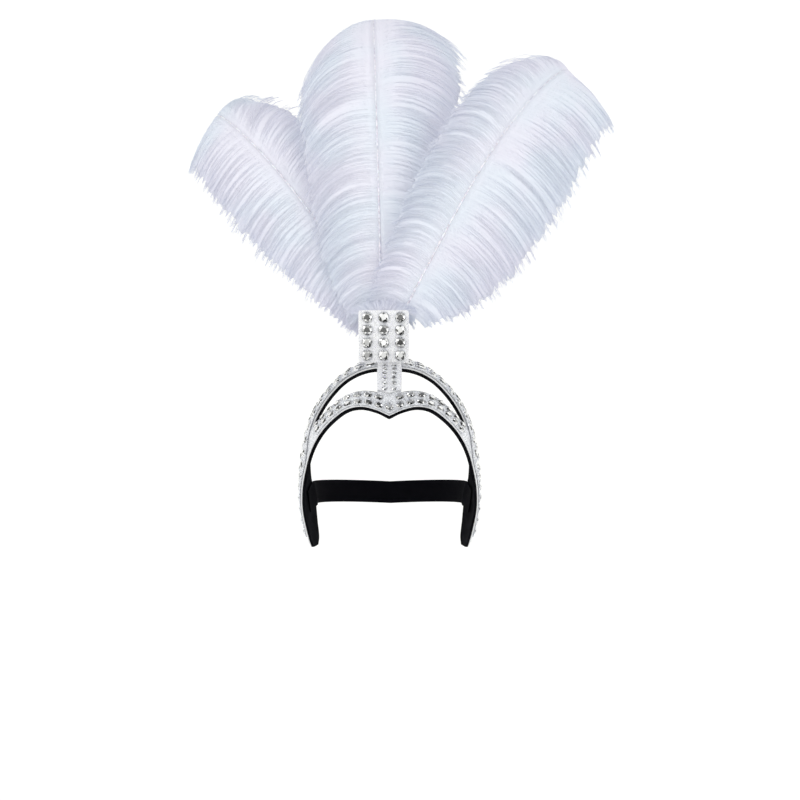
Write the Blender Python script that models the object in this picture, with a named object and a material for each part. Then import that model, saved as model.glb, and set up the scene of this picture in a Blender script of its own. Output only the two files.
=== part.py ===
# Showgirl feather headdress: a stoned frame with two crescent windows, a front plate and three plumes.
# Metres, +Z up, the front toward -Y, +X on the right of someone who faces the front.
# The origin is the point under the felt where the crown of the head seats.

import math

import bmesh
import bpy
import numpy as np

# The frame: a shaped board that curves over the crown and ends in two arms beside the face
HALF_WIDTH = 0.092        # middle to the widest part of an arm
REACH = 0.087             # ear line to the peak over the forehead
DROP = 0.186              # crown line to the tips of the arms
BOARD = 0.0016            # silver glitter board
FELT = 0.0025             # black felt glued under it
FELT_EDGE = 0.0008        # how far the felt reaches past the frame's outline
BOARD_INSET = 0.0012      # how far the board stays inside it, so that the felt shows as a black line
GAP = 0.0003              # between pieces that touch
WINDOW_HALF = 0.215       # half a crescent's height, as a share of the frame's depth
WINDOW_END = 5.15         # table row where a crescent closes
WINDOW_ROUND = 1.6        # how full it stays toward that end
WINDOW_TIP = 0.012        # half its height at the closed end
WINDOW_SPREAD = 0.10      # how far its two lines part again down the arm
HEAD_SHARE = 0.65         # height of the head's middle, as a share of the drop
SEAT_SHARE = 0.85         # where the crown of the head touches, as a share of the depth

# The stoned trims on the board
TRIM = 0.0008             # the backing that the stones are set in
TRIM_GAP = 0.0008
TRIM_MARGIN = 0.0022      # from the frame's outline to the stones' backing
STONE_RISE = 0.0023       # stone above its backing
STONE_FILL = 0.88         # an oval stone's length and width, as shares of its cell's
STONE_FOOT = 0.94         # a cut stone's width at its setting, as a share of its full width
STONE_GIRDLE = 0.28       # height of its widest line, as a share of its rise
STONE_TABLE = 0.56        # table across, as a share of the stone
BAND_COLUMNS = 17         # odd, so that one column sits at the peak
BAND_ROWS = 2
BAND_END = 5.0            # table row where the band's stones stop
SIDE_COLUMNS = 17
SIDE_ROWS = 3
SIDE_START = 0.1          # rows below the crescents where the side stones begin to spread
SIDE_SPREAD = 1.3         # rows that they take for it
SIDE_END = 10.6           # table row where an arm's stones stop

# The stem between the crescents, and the plate above it
STEM_WIDTH = 0.025
STEM_GAP = 0.0003         # between the stem strip and the stones at its sides
STEM_ABOVE_BAND = 0.02    # share of the depth left bare between the band and the stem
STEM_BOARD = 0.0016
STEM_TOP = 0.72           # share of the depth where the stem stands up behind the plate
STEM_BEHIND = 0.010       # how far it runs up behind the plate
STEM_ROWS = 6
STEM_STONE = 0.0058
STEM_STONE_RISE = 0.0024
STEM_STONE_PITCH = 0.0102
STEM_STONE_START = 0.42   # place of the first stones in their row of the strip
PLATE_WIDTH = 0.052
PLATE_HEIGHT = 0.054
PLATE_BOARD = 0.0016
PLATE_SHIFT = -0.006      # plate's middle from the frame's middle
PLATE_CORNER = 0.002
PLATE_LIFT = 0.0024       # plate's lower edge above the place where the stem stands up
PLATE_COLUMNS = 3
PLATE_ROWS = 4
PLATE_STONE = 0.0118
PLATE_STONE_RISE = 0.0046
PLATE_PITCH_X = 0.0172
PLATE_PITCH_Z = 0.0130

# The pocket behind the plate that holds the three quills, one layer behind another
QUILL = 0.0042
QUILL_SIDES = 8
LAYER = 0.0070            # depth that each quill takes
POCKET_WALL = 0.0015
POCKET_WIDTH = 0.036
POCKET_HEIGHT = 0.022
POCKET_TOP = 0.013        # pocket's rim below the plate's top

# The plumes
PLUME_DROP = 0.001        # the quills are measured from this far below the plate's top
LEFT_PLUME = 0.345        # quill from its foot to its curled tip
CENTRE_PLUME = 0.384
RIGHT_PLUME = 0.358
BARB = 0.100              # the barb length that the plume tables are shares of
CURL_POWER = 5            # how late along a quill its curl comes
LOCK_DEPTH = 0.0080       # a lock of barbs, front to back at its thickest
LOCK_VALLEY = 0.42        # depth between two locks, as a share of that
LOCK_AT_FOOT = 0.45       # depth of the lowest locks, as a share of that
LOCK_GROWTH = 2.2         # how fast the locks reach their full depth along the quill
LOCK_THINNING = 0.6       # how much thinner they are at the curled tip
LOCK_EDGE = 0.72          # depth at a lock's root and tip, as a share of its middle
LOCK_NOTCH = 0.10         # how much shorter the barbs between two locks are
LOCKS = 12                # locks on each side of a quill
LOCK_STEPS = 5

# The elastic that closes the ring behind the head
STRAP_HEIGHT = 0.024
STRAP_THICK = 0.0012
STRAP_GAP = 0.0009        # between the felt and the elastic sewn to it
STRAP_BACK = 0.096        # how far behind the ear line the strap passes
STRAP_DROP = 0.004        # how much lower it lies at the back
STRAP_ROW = 8.80          # table row that the strap's ends are sewn at
STRAP_TABS = (0.40, 0.60, 0.80, 1.0)
STRAP_STEPS = 10
STRAP_SETTLE = 3.0        # how soon the strap leaves the arm's surface for its own loop

# Sections of the frame from its middle to an arm's tip. Front and rear edge as shares of
# HALF_WIDTH, REACH and DROP, the bulge between them as a share of HALF_WIDTH, and the
# middle line of the crescents as a share of the depth.
SECTION_COLUMNS = ("front_x", "front_y", "front_z", "rear_x", "rear_y", "rear_z", "bulge", "window")
SECTIONS = (
    (0.000, -1.000, -0.267, 0.000, -0.092, 0.050, 0.130, 0.450),
    (0.152, -0.948, -0.234, 0.163, -0.092, 0.044, 0.130, 0.443),
    (0.315, -0.874, -0.218, 0.337, -0.080, 0.010, 0.122, 0.425),
    (0.478, -0.782, -0.236, 0.505, -0.057, -0.045, 0.108, 0.398),
    (0.652, -0.667, -0.301, 0.660, -0.023, -0.124, 0.090, 0.363),
    (0.784, -0.552, -0.379, 0.785, 0.023, -0.212, 0.072, 0.323),
    (0.882, -0.437, -0.473, 0.872, 0.069, -0.318, 0.050, 0.345),
    (0.952, -0.322, -0.597, 0.932, 0.103, -0.457, 0.030, 0.400),
    (0.983, -0.276, -0.699, 0.932, 0.126, -0.602, 0.018, 0.430),
    (0.980, -0.253, -0.796, 0.885, 0.138, -0.726, 0.014, 0.450),
    (0.940, -0.230, -0.898, 0.858, 0.138, -0.860, 0.012, 0.460),
    (0.908, -0.195, -0.962, 0.838, 0.103, -0.946, 0.008, 0.460),
    (0.886, -0.115, -1.000, 0.842, 0.023, -0.995, 0.004, 0.460),
)

# Barbs along a quill, from foot to tip. Lengths are shares of BARB, angles are degrees
# from the quill, and sag is how fast a barb turns down.
BARB_COLUMNS = ("along", "left_length", "right_length", "left_angle", "right_angle", "left_sag", "right_sag")
PLUMES = {
    "plume_left": {
        "length": LEFT_PLUME, "foot": 0.41, "layer": 2, "lean": -33.9, "bend": -27.0, "bend_power": 2.4,
        "curl": 128.0, "tilt": 5.0, "left_back": 0.30, "right_back": 0.16,
        "rows": (
            (0.00, 0.38, 0.42, 86, 70, 1.00, 1.40),
            (0.20, 0.60, 0.58, 86, 64, 1.04, 1.54),
            (0.50, 0.82, 0.74, 76, 58, 1.08, 1.58),
            (0.75, 0.76, 0.79, 64, 50, 1.18, 1.80),
            (0.92, 0.75, 0.78, 49, 46, 1.14, 1.80),
            (1.00, 0.52, 0.52, 24, 24, 1.50, 1.60),
        ),
    },
    "plume_centre": {
        "length": CENTRE_PLUME, "foot": 0.45, "layer": 1, "lean": -1.0, "bend": -1.5, "bend_power": 1.0,
        "curl": 137.0, "tilt": 0.0, "left_back": 0.10, "right_back": 0.22,
        "rows": (
            (0.00, 0.42, 0.42, 84, 84, 1.40, 1.40),
            (0.20, 0.78, 0.76, 80, 80, 1.54, 1.60),
            (0.50, 1.02, 0.99, 78, 74, 1.68, 1.64),
            (0.75, 1.14, 1.25, 76, 54, 1.88, 1.54),
            (0.92, 0.95, 1.48, 66, 41, 1.96, 1.22),
            (1.00, 0.55, 0.86, 24, 24, 1.66, 1.60),
        ),
    },
    "plume_right": {
        "length": RIGHT_PLUME, "foot": 0.90, "layer": 0, "lean": 27.4, "bend": 34.0, "bend_power": 2.8,
        "curl": 112.0, "tilt": -5.0, "left_back": 0.02, "right_back": 0.30,
        "rows": (
            (0.00, 0.49, 0.31, 72, 82, 1.60, 0.94),
            (0.20, 0.60, 0.85, 68, 84, 1.76, 1.10),
            (0.50, 0.69, 1.08, 64, 76, 1.92, 1.14),
            (0.75, 0.68, 0.97, 62, 55, 2.14, 1.13),
            (0.92, 0.56, 0.97, 50, 32, 2.14, 0.85),
            (1.00, 0.41, 0.64, 24, 22, 1.72, 1.30),
        ),
    },
}

FINISHES = {
    "silver_glitter": ((0.80, 0.81, 0.84), 0.35, 0.60),
    "black_felt": ((0.015, 0.015, 0.017), 0.95, 0.0),
    "crystal_stone": ((0.86, 0.88, 0.92), 0.06, 0.85),
    "white_plume": ((0.86, 0.86, 0.92), 0.80, 0.0),
    "black_elastic": ((0.020, 0.020, 0.022), 0.85, 0.0),
}


def clear_scene():
    for thing in list(bpy.data.objects):
        bpy.data.objects.remove(thing, do_unlink=True)


def finish(name):
    if name in bpy.data.materials:
        return bpy.data.materials[name]
    colour, roughness, metallic = FINISHES[name]
    material = bpy.data.materials.new(name)
    material.use_nodes = True
    shader = material.node_tree.nodes["Principled BSDF"]
    shader.inputs["Base Color"].default_value = (*colour, 1.0)
    shader.inputs["Roughness"].default_value = roughness
    shader.inputs["Metallic"].default_value = metallic
    return material


def add_node(name, mesh_data, material):
    """Make one closed, outward-facing object from a bmesh."""
    bmesh.ops.recalc_face_normals(mesh_data, faces=mesh_data.faces[:])
    mesh = bpy.data.meshes.new(name)
    mesh_data.to_mesh(mesh)
    mesh_data.free()
    mesh.materials.append(finish(material))
    node = bpy.data.objects.new(name, mesh)
    bpy.context.scene.collection.objects.link(node)
    return node


def through_rows(keys, rows, at):
    """Read a table between its rows along a smooth curve that passes through each row."""
    low = int(np.clip(np.searchsorted(keys, at) - 1, 0, len(keys) - 2))
    span = keys[low + 1] - keys[low]
    part = min(max((at - keys[low]) / span, 0.0), 1.0)

    def slope(row):
        before = max(row - 1, 0)
        after = min(row + 1, len(keys) - 1)
        return span * (rows[after] - rows[before]) / (keys[after] - keys[before])

    square, cube = part**2, part**3
    return (
        (2 * cube - 3 * square + 1) * rows[low]
        + (cube - 2 * square + part) * slope(low)
        + (3 * square - 2 * cube) * rows[low + 1]
        + (cube - square) * slope(low + 1)
    )


# The section table mirrored about the middle, so that the curve is smooth across it
LAST_ROW = len(SECTIONS) - 1
SECTION_SCALE = np.array([HALF_WIDTH, REACH, DROP, HALF_WIDTH, REACH, DROP, HALF_WIDTH, 1.0])
MIRROR = np.array([-1, 1, 1, -1, 1, 1, 1, 1])
RIGHT_SECTIONS = np.array(SECTIONS) * SECTION_SCALE
ALL_SECTIONS = np.vstack([RIGHT_SECTIONS[:0:-1] * MIRROR, RIGHT_SECTIONS])
ALL_ROWS = np.arange(-LAST_ROW, LAST_ROW + 1)
RIGHT_ROWS = np.arange(LAST_ROW + 1)
FRONT_Z = SECTION_COLUMNS.index("front_z")
HEAD_CENTRE = np.array([0.0, 0.0, -HEAD_SHARE * DROP])


def section_at(row):
    """The table between its rows, with the front edge pointed at the brow's middle."""
    section = dict(zip(SECTION_COLUMNS, through_rows(ALL_ROWS, ALL_SECTIONS, row)))
    section["front_z"] = through_rows(RIGHT_ROWS, RIGHT_SECTIONS[:, FRONT_Z], abs(row))
    return section


def raw_point(row, share):
    """A point of the board's inner face: row runs from arm to arm, share from front to rear."""
    section = section_at(row)
    front = np.array([section["front_x"], section["front_y"], section["front_z"]])
    rear = np.array([section["rear_x"], section["rear_y"], section["rear_z"]])
    chord = rear - front
    flat = front + chord * share
    out = flat - HEAD_CENTRE
    out = out - chord * (out @ chord) / (chord @ chord)
    return flat + out / np.linalg.norm(out) * section["bulge"] * 4 * share * (1 - share)


def raw_normal(row, share):
    step = 0.01
    row = min(max(row, step - LAST_ROW), LAST_ROW - step)
    share = min(max(share, step), 1 - step)
    along = raw_point(row + step, share) - raw_point(row - step, share)
    across = raw_point(row, share + step) - raw_point(row, share - step)
    normal = np.cross(along, across)
    return normal / np.linalg.norm(normal)


SEAT = raw_point(0, SEAT_SHARE) - raw_normal(0, SEAT_SHARE) * (GAP + FELT)


def frame_point(row, share, offset=0.0):
    return raw_point(row, share) + raw_normal(row, share) * offset - SEAT


def window_edges(row):
    """Front and rear edge of the crescents, and below them the same lines spread apart."""
    row = abs(row)
    middle = section_at(row)["window"]
    crescent = WINDOW_HALF * math.sqrt(max(0.0, 1 - (row / WINDOW_END) ** WINDOW_ROUND))
    below = min(max((row - WINDOW_END) / 2, 0.0), 1.0)
    half = max(crescent, WINDOW_TIP + WINDOW_SPREAD * below)
    return middle - half, middle + half


def row_of_width(width):
    """The table row whose middle lies this far from the frame's middle."""
    low, high = 0.0, 4.0
    for _ in range(40):
        middle = (low + high) / 2
        if raw_point(middle, STEM_TOP)[0] < width:
            low = middle
        else:
            high = middle
    return low


STEM_ROW = row_of_width(STEM_WIDTH / 2)
HALF_ROWS = [0.0, STEM_ROW / 2, STEM_ROW] + [1.5 + 0.5 * k for k in range(2 * LAST_ROW - 2)]
HALF_ROWS = [WINDOW_END if abs(row - WINDOW_END) < 0.2 else row for row in HALF_ROWS]
BOARD_ROWS = [-row for row in HALF_ROWS[:0:-1]] + HALF_ROWS


def add_pair(mesh, corners):
    """Split a bent four-sided cell along its first diagonal, the same way in every layer."""
    mesh.faces.new((corners[0], corners[1], corners[2]))
    mesh.faces.new((corners[0], corners[2], corners[3]))


def quad_solid(name, low, high, keep, material):
    """Close two grids of points into one slab, leaving out the cells that keep refuses."""
    across, along = len(low), len(low[0])
    mesh = bmesh.new()
    made = {}

    def vertex(level, i, j):
        key = (level, i, j)
        if key not in made:
            made[key] = mesh.verts.new((high if level else low)[i][j])
        return made[key]

    def kept(i, j):
        return 0 <= i < across - 1 and 0 <= j < along - 1 and keep(i, j)

    for i in range(across - 1):
        for j in range(along - 1):
            if not kept(i, j):
                continue
            ring = ((i, j), (i + 1, j), (i + 1, j + 1), (i, j + 1))
            add_pair(mesh, [vertex(1, *at) for at in ring])
            add_pair(mesh, [vertex(0, *at) for at in ring])
            for k, (di, dj) in enumerate(((0, -1), (1, 0), (0, 1), (-1, 0))):
                if not kept(i + di, j + dj):
                    a, b = ring[k], ring[(k + 1) % 4]
                    add_pair(mesh, (vertex(0, *a), vertex(0, *b), vertex(1, *b), vertex(1, *a)))
    return add_node(name, mesh, material)


def board_layer(name, inner, outer, edge, material):
    """One sheet of the frame, with both crescents cut through it."""
    def shares(row):
        front, rear = window_edges(row)
        depth = np.linalg.norm(raw_point(row, 1) - raw_point(row, 0))
        grow = edge / depth
        open_here = STEM_ROW + 0.01 < abs(row) < WINDOW_END - 0.01
        inset = grow if open_here else 0.0
        return [-grow, front / 2, front + inset, rear - inset, (1 + rear) / 2, 1 + grow]

    def level(offset):
        return [[frame_point(row, share, offset) for share in shares(row)] for row in BOARD_ROWS]

    def keep(i, j):
        middle = abs(BOARD_ROWS[i] + BOARD_ROWS[i + 1]) / 2
        return j != 2 or not STEM_ROW < middle < WINDOW_END

    return quad_solid(name, level(inner), level(outer), keep, material)


def even_rows(start, end, count, share_of):
    """Rows between start and end whose points lie at even distances."""
    fine = np.linspace(start, end, 200)
    points = np.array([raw_point(row, share_of(row)) for row in fine])
    run = np.concatenate([[0.0], np.cumsum(np.linalg.norm(np.diff(points, axis=0), axis=1))])
    return np.interp(np.linspace(0, run[-1], count + 1), run, fine)


def stone_field(name, rows, edges, lanes, bare, material):
    """A backing that follows the board, with one cut stone rising from each of its cells."""
    bottom = BOARD + TRIM_GAP
    top = bottom + TRIM

    def share(i, j):
        front, rear = edges(rows[i])
        return front + (rear - front) * j / lanes

    mesh = bmesh.new()
    made = {}

    def vertex(level, i, j):
        key = (level, i, j)
        if key not in made:
            made[key] = mesh.verts.new(frame_point(rows[i], share(i, j), top if level else bottom))
        return made[key]

    def kept(i, j):
        return 0 <= i < len(rows) - 1 and 0 <= j < lanes and (i, j) not in bare["gone"]

    for i in range(len(rows) - 1):
        for j in range(lanes):
            if not kept(i, j):
                continue
            ring = ((i, j), (i + 1, j), (i + 1, j + 1), (i, j + 1))
            add_pair(mesh, [vertex(0, *at) for at in ring])
            for k, (di, dj) in enumerate(((0, -1), (1, 0), (0, 1), (-1, 0))):
                if not kept(i + di, j + dj):
                    a, b = ring[k], ring[(k + 1) % 4]
                    add_pair(mesh, (vertex(0, *a), vertex(0, *b), vertex(1, *b), vertex(1, *a)))
            corners = [vertex(1, *at) for at in ring]
            if (i, j) in bare["plain"]:
                add_pair(mesh, corners)
                continue
            set_stone(mesh, corners)
    return add_node(name, mesh, material)


def set_stone(mesh, corners):
    """Fill a cell with an oval stone of eight sides: a ring of backing, the crown and the table."""
    places = [np.array(corner.co) for corner in corners]
    middle = sum(places) / 4
    along = places[1] + places[2] - places[0] - places[3]
    across = places[2] + places[3] - places[0] - places[1]
    normal = np.cross(along, across)
    normal = normal / np.linalg.norm(normal)
    reach = []
    for k in range(4):
        edge = places[(k + 1) % 4] - places[k]
        reach.append(abs((middle - places[k]) @ np.cross(normal, edge)) / np.linalg.norm(edge))
    width = STONE_FILL * min(reach[0], reach[2])
    length = STONE_FILL * min(reach[1], reach[3])
    along = along / np.linalg.norm(along)
    across = np.cross(normal, along)

    def octagon(size, rise):
        turns = [math.radians(-157.5 + 45 * k) for k in range(8)]
        return [
            mesh.verts.new(
                middle
                + size * (length * math.cos(t) * along + width * math.sin(t) * across)
                + normal * rise
            )
            for t in turns
        ]

    girdle = octagon(1.0, 0.0)
    table = octagon(STONE_TABLE, STONE_RISE)
    for k in range(8):
        mesh.faces.new((girdle[k], girdle[(k + 1) % 8], table[(k + 1) % 8], table[k]))
    mesh.faces.new(table)
    for k in range(4):
        a, b = 2 * k, (2 * k + 1) % 8
        mesh.faces.new((corners[k], girdle[b], girdle[a]))
        mesh.faces.new((corners[k], corners[(k + 1) % 4], girdle[(b + 1) % 8], girdle[b]))


def frame_sheets():
    board_layer("crown_shell", 0.0, BOARD, -BOARD_INSET, "silver_glitter")
    board_layer("felt_lining", -GAP - FELT, -GAP, FELT_EDGE, "black_felt")


def margin(row):
    return TRIM_MARGIN / np.linalg.norm(raw_point(row, 1) - raw_point(row, 0))


def band_edges(row):
    return margin(row), window_edges(row)[0] - margin(row)


def side_edges(row):
    """The arch's width beside the crescent, opening to the whole arm below it."""
    part = min(max((abs(row) - WINDOW_END - SIDE_START) / SIDE_SPREAD, 0.0), 1.0)
    part = part * part * (3 - 2 * part)
    arch = window_edges(min(abs(row), WINDOW_END))[1] + margin(row)
    return arch + (margin(row) - arch) * part, 1 - margin(row)


def frame_stones():
    rows = even_rows(-BAND_END, BAND_END, BAND_COLUMNS, lambda row: window_edges(row)[0] / 2)
    bare = {"plain": {(BAND_COLUMNS // 2, BAND_ROWS - 1)}, "gone": set()}
    stone_field("front_band_stones", rows, band_edges, BAND_ROWS, bare, "crystal_stone")
    rows = even_rows(STEM_ROW, SIDE_END, SIDE_COLUMNS, lambda row: sum(side_edges(row)) / 2)
    last = SIDE_COLUMNS - 1
    tail = {(last, 1), (last, 2), (last - 1, 2)}
    bare = {"plain": set(), "gone": tail}
    stone_field("stone_field_right", rows, side_edges, SIDE_ROWS, bare, "crystal_stone")
    bare = {"plain": set(), "gone": {(last - i, j) for i, j in tail}}
    stone_field("stone_field_left", -rows[::-1], side_edges, SIDE_ROWS, bare, "crystal_stone")


def cut_stone(name, across, rise, place, right, up):
    """A loose flat-backed stone with a table, a crown and a girdle, facing along right x up."""
    front = np.cross(right, up)
    mesh = bmesh.new()

    def ring(size, height):
        turns = [math.radians(22.5 + 45 * k) for k in range(8)]
        return [
            mesh.verts.new(place + size / 2 * (math.cos(t) * right + math.sin(t) * up) + front * height)
            for t in turns
        ]

    girdle = ring(across, rise * STONE_GIRDLE)
    rings = [ring(across * STONE_FOOT, 0.0), girdle, ring(across * STONE_TABLE, rise)]
    for lower, upper in zip(rings, rings[1:]):
        for k in range(8):
            mesh.faces.new((lower[k], lower[(k + 1) % 8], upper[(k + 1) % 8], upper[k]))
    mesh.faces.new(rings[0][::-1])
    mesh.faces.new(rings[-1])
    return add_node(name, mesh, "crystal_stone")


STEM_INNER = BOARD + GAP
STEM_OUTER = STEM_INNER + STEM_BOARD
STEM_BOTTOM = window_edges(0)[0] + STEM_ABOVE_BAND
STEM_BEND = frame_point(0, STEM_TOP, STEM_OUTER)
PLATE_BACK_Y = STEM_BEND[1] - GAP
PLATE_BOTTOM = STEM_BEND[2] + PLATE_LIFT
PLATE_TOP = PLATE_BOTTOM + PLATE_HEIGHT


def stem():
    """A narrow strip up the middle of the frame, with two columns of small stones."""
    steps = 6
    edge = row_of_width(STEM_WIDTH / 2 - STEM_GAP)
    sides = [-edge, 0.0, edge]
    shares = [STEM_BOTTOM + (STEM_TOP - STEM_BOTTOM) * k / steps for k in range(steps + 1)]
    top = PLATE_BOTTOM + STEM_BEHIND

    def level(offset):
        behind = STEM_BEND[1] + STEM_OUTER - offset
        lines = []
        for row in sides:
            line = [frame_point(row, share, offset) for share in shares[:-1]]
            across = frame_point(row, STEM_TOP, offset)[0]
            line.append(np.array([across, behind, STEM_BEND[2] + 0.3 * (STEM_OUTER - offset)]))
            line.append(np.array([across, behind, top]))
            lines.append(line)
        return lines

    quad_solid("stem_strip", level(STEM_INNER), level(STEM_OUTER), lambda i, j: True, "silver_glitter")
    side = STEM_ROW * STEM_STONE_PITCH / STEM_WIDTH
    for k in range(STEM_ROWS):
        share = STEM_BOTTOM + (STEM_TOP - STEM_BOTTOM) * (k + STEM_STONE_START) / STEM_ROWS
        for j, row in enumerate((-side, side)):
            up = raw_point(row, share + 0.01) - raw_point(row, share - 0.01)
            up = up / np.linalg.norm(up)
            right = np.cross(up, raw_normal(row, share))
            place = frame_point(row, share, STEM_OUTER + GAP)
            name = f"stem_stone_{2 * k + j + 1:02d}"
            cut_stone(name, STEM_STONE, STEM_STONE_RISE, place, right, np.cross(raw_normal(row, share), right))


def box(name, low, high, material, rounding=0.0):
    mesh = bmesh.new()
    bmesh.ops.create_cube(mesh, size=1.0)
    for vert in mesh.verts:
        vert.co = [low[k] + (high[k] - low[k]) * (vert.co[k] + 0.5) for k in range(3)]
    if rounding:
        corners = [edge for edge in mesh.edges if abs(edge.verts[0].co.y - edge.verts[1].co.y) > 1e-6]
        bmesh.ops.bevel(mesh, geom=corners, offset=rounding, segments=2, affect="EDGES", profile=0.5)
    return add_node(name, mesh, material)


def plate():
    """The upright plate over the forehead, with three columns of large stones."""
    left, right = PLATE_SHIFT - PLATE_WIDTH / 2, PLATE_SHIFT + PLATE_WIDTH / 2
    front = PLATE_BACK_Y - PLATE_BOARD
    low, high = (left, front, PLATE_BOTTOM), (right, PLATE_BACK_Y, PLATE_TOP)
    box("front_plate", low, high, "silver_glitter", PLATE_CORNER)
    middle = (PLATE_BOTTOM + PLATE_TOP) / 2
    for row in range(PLATE_ROWS):
        for column in range(PLATE_COLUMNS):
            x = PLATE_SHIFT + (column - (PLATE_COLUMNS - 1) / 2) * PLATE_PITCH_X
            z = middle + ((PLATE_ROWS - 1) / 2 - row) * PLATE_PITCH_Z
            name = f"plate_stone_{row * PLATE_COLUMNS + column + 1:02d}"
            place = np.array([x, front - GAP, z])
            cut_stone(name, PLATE_STONE, PLATE_STONE_RISE, place, np.array([1.0, 0, 0]), np.array([0, 0, 1.0]))


def pocket():
    """An open-topped felt pocket behind the plate."""
    front = PLATE_BACK_Y + GAP
    rear = front + 2 * POCKET_WALL + 3 * LAYER
    top = PLATE_TOP - POCKET_TOP
    low = (-POCKET_WIDTH / 2, front, top - POCKET_HEIGHT)
    node = box("plume_pocket", low, (POCKET_WIDTH / 2, rear, top), "black_felt")
    mesh = bmesh.new()
    mesh.from_mesh(node.data)
    lid = [face for face in mesh.faces if face.normal.z > 0.9]
    bmesh.ops.inset_region(mesh, faces=lid, thickness=POCKET_WALL, use_even_offset=True)
    floor = bmesh.ops.extrude_face_region(mesh, geom=lid)
    verts = [item for item in floor["geom"] if isinstance(item, bmesh.types.BMVert)]
    bmesh.ops.translate(mesh, verts=verts, vec=(0, 0, POCKET_WALL - POCKET_HEIGHT))
    bmesh.ops.delete(mesh, geom=lid, context="FACES_ONLY")
    bmesh.ops.recalc_face_normals(mesh, faces=mesh.faces[:])
    mesh.to_mesh(node.data)
    mesh.free()


def plume_axes(plume, along):
    """The quill's direction and its side direction at a share of its length."""
    lean = math.radians(plume["lean"] + plume["bend"] * along ** plume["bend_power"])
    curl = math.radians(plume["tilt"] + plume["curl"] * along**CURL_POWER)
    up = np.array([math.sin(lean), 0.0, math.cos(lean)])
    side = np.array([math.cos(lean), 0.0, -math.sin(lean)])
    back = np.array([0.0, 1.0, 0.0])
    return math.cos(curl) * up + math.sin(curl) * back, side


def plume_foot(plume):
    left = PLATE_SHIFT - PLATE_WIDTH / 2
    depth = PLATE_BACK_Y + GAP + POCKET_WALL + (plume["layer"] + 0.5) * LAYER
    return np.array([left + plume["foot"] * PLATE_WIDTH, depth, PLATE_TOP - PLUME_DROP])


def quill_line(plume, count):
    """Points along the quill from its foot to its tip, at count + 1 even steps."""
    fine = 12
    points = [plume_foot(plume)]
    place = points[0]
    for k in range(count * fine):
        direction = plume_axes(plume, (k + 0.5) / (count * fine))[0]
        place = place + direction * plume["length"] / (count * fine)
        if (k + 1) % fine == 0:
            points.append(place)
    return points


def barb_line(plume, start, along, side, notch):
    """One barb: it leaves the quill at its angle, then turns down under its own weight."""
    hand = "left" if side < 0 else "right"
    keys = [row[0] for row in plume["rows"]]
    barb = dict(zip(BARB_COLUMNS, through_rows(keys, np.array(plume["rows"], float), along)))
    quill, right = plume_axes(plume, along)
    back = plume[hand + "_back"]
    down = np.array([0.0, back, -1.0]) / math.hypot(back, 1.0)
    angle = math.radians(barb[hand + "_angle"])
    leave = math.cos(angle) * quill + math.sin(angle) * side * right
    level = leave - down * (leave @ down)
    level = level / np.linalg.norm(level)
    first = math.tan(math.acos(min(max(leave @ down, -1.0), 1.0)) / 2)
    points = [start]
    step = barb[hand + "_length"] * BARB * (1 - notch) / LOCK_STEPS
    for k in range(LOCK_STEPS):
        turn = 2 * math.atan(first * math.exp(-barb[hand + "_sag"] * (k + 0.5) / LOCK_STEPS))
        points.append(points[-1] + step * (math.cos(turn) * down + math.sin(turn) * level))
    return points


def plume_solid(name, plume):
    """Locks of barbs on both sides of the quill as one ridged leaf, with the quill run into it."""
    columns = 2 * LOCKS
    starts = quill_line(plume, columns)
    grid = []
    for i in range(columns + 1):
        notch = LOCK_NOTCH * (1 - i % 2)
        left = barb_line(plume, starts[i], i / columns, -1, notch)
        right = barb_line(plume, starts[i], i / columns, 1, notch)
        grid.append(left[:0:-1] + right)
    grid = np.array(grid)
    lanes = 2 * LOCK_STEPS
    along = np.gradient(grid, axis=0)
    across = np.gradient(grid, axis=1)
    normal = np.cross(across, along)
    normal = -normal / np.linalg.norm(normal, axis=2, keepdims=True)
    mesh = bmesh.new()
    front, back = {}, {}
    for i in range(columns + 1):
        for j in range(lanes + 1):
            out = abs(j - LOCK_STEPS) / LOCK_STEPS
            rise = min(1.0, LOCK_AT_FOOT + LOCK_GROWTH * i / columns)
            rise *= 1 - LOCK_THINNING * (i / columns) ** CURL_POWER
            half = LOCK_DEPTH / 2 * rise * (LOCK_EDGE + (1 - LOCK_EDGE) * math.sin(math.pi * out))
            half *= 1.0 if i % 2 or j == LOCK_STEPS else LOCK_VALLEY
            if i in (0, columns) or j in (0, lanes):
                front[i, j] = back[i, j] = mesh.verts.new(grid[i, j])
            else:
                front[i, j] = mesh.verts.new(grid[i, j] + normal[i, j] * half)
                back[i, j] = mesh.verts.new(grid[i, j] - normal[i, j] * half)
    for i in range(columns):
        for j in range(lanes):
            ring = [(i, j), (i + 1, j), (i + 1, j + 1), (i, j + 1)]
            if (i >= LOCKS) == (j < LOCK_STEPS):
                ring = ring[1:] + ring[:1]
            add_pair(mesh, [front[at] for at in ring])
            add_pair(mesh, [back[at] for at in ring])
    node = add_node(name, mesh, "white_plume")
    direction = plume_axes(plume, 0.0)[0]
    floor = PLATE_TOP - POCKET_TOP - POCKET_HEIGHT + POCKET_WALL
    end = floor + GAP + QUILL / 2 * math.hypot(direction[0], direction[1])
    bottom = starts[0] - direction * (starts[0][2] - end) / direction[2]
    top = (starts[2] + starts[3]) / 2
    tube = rod("quill", (bottom, starts[0], starts[1], top), QUILL / 2)
    join = node.modifiers.new("quill", "BOOLEAN")
    join.operation = "UNION"
    join.solver = "EXACT"
    join.object = tube
    return node


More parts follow.
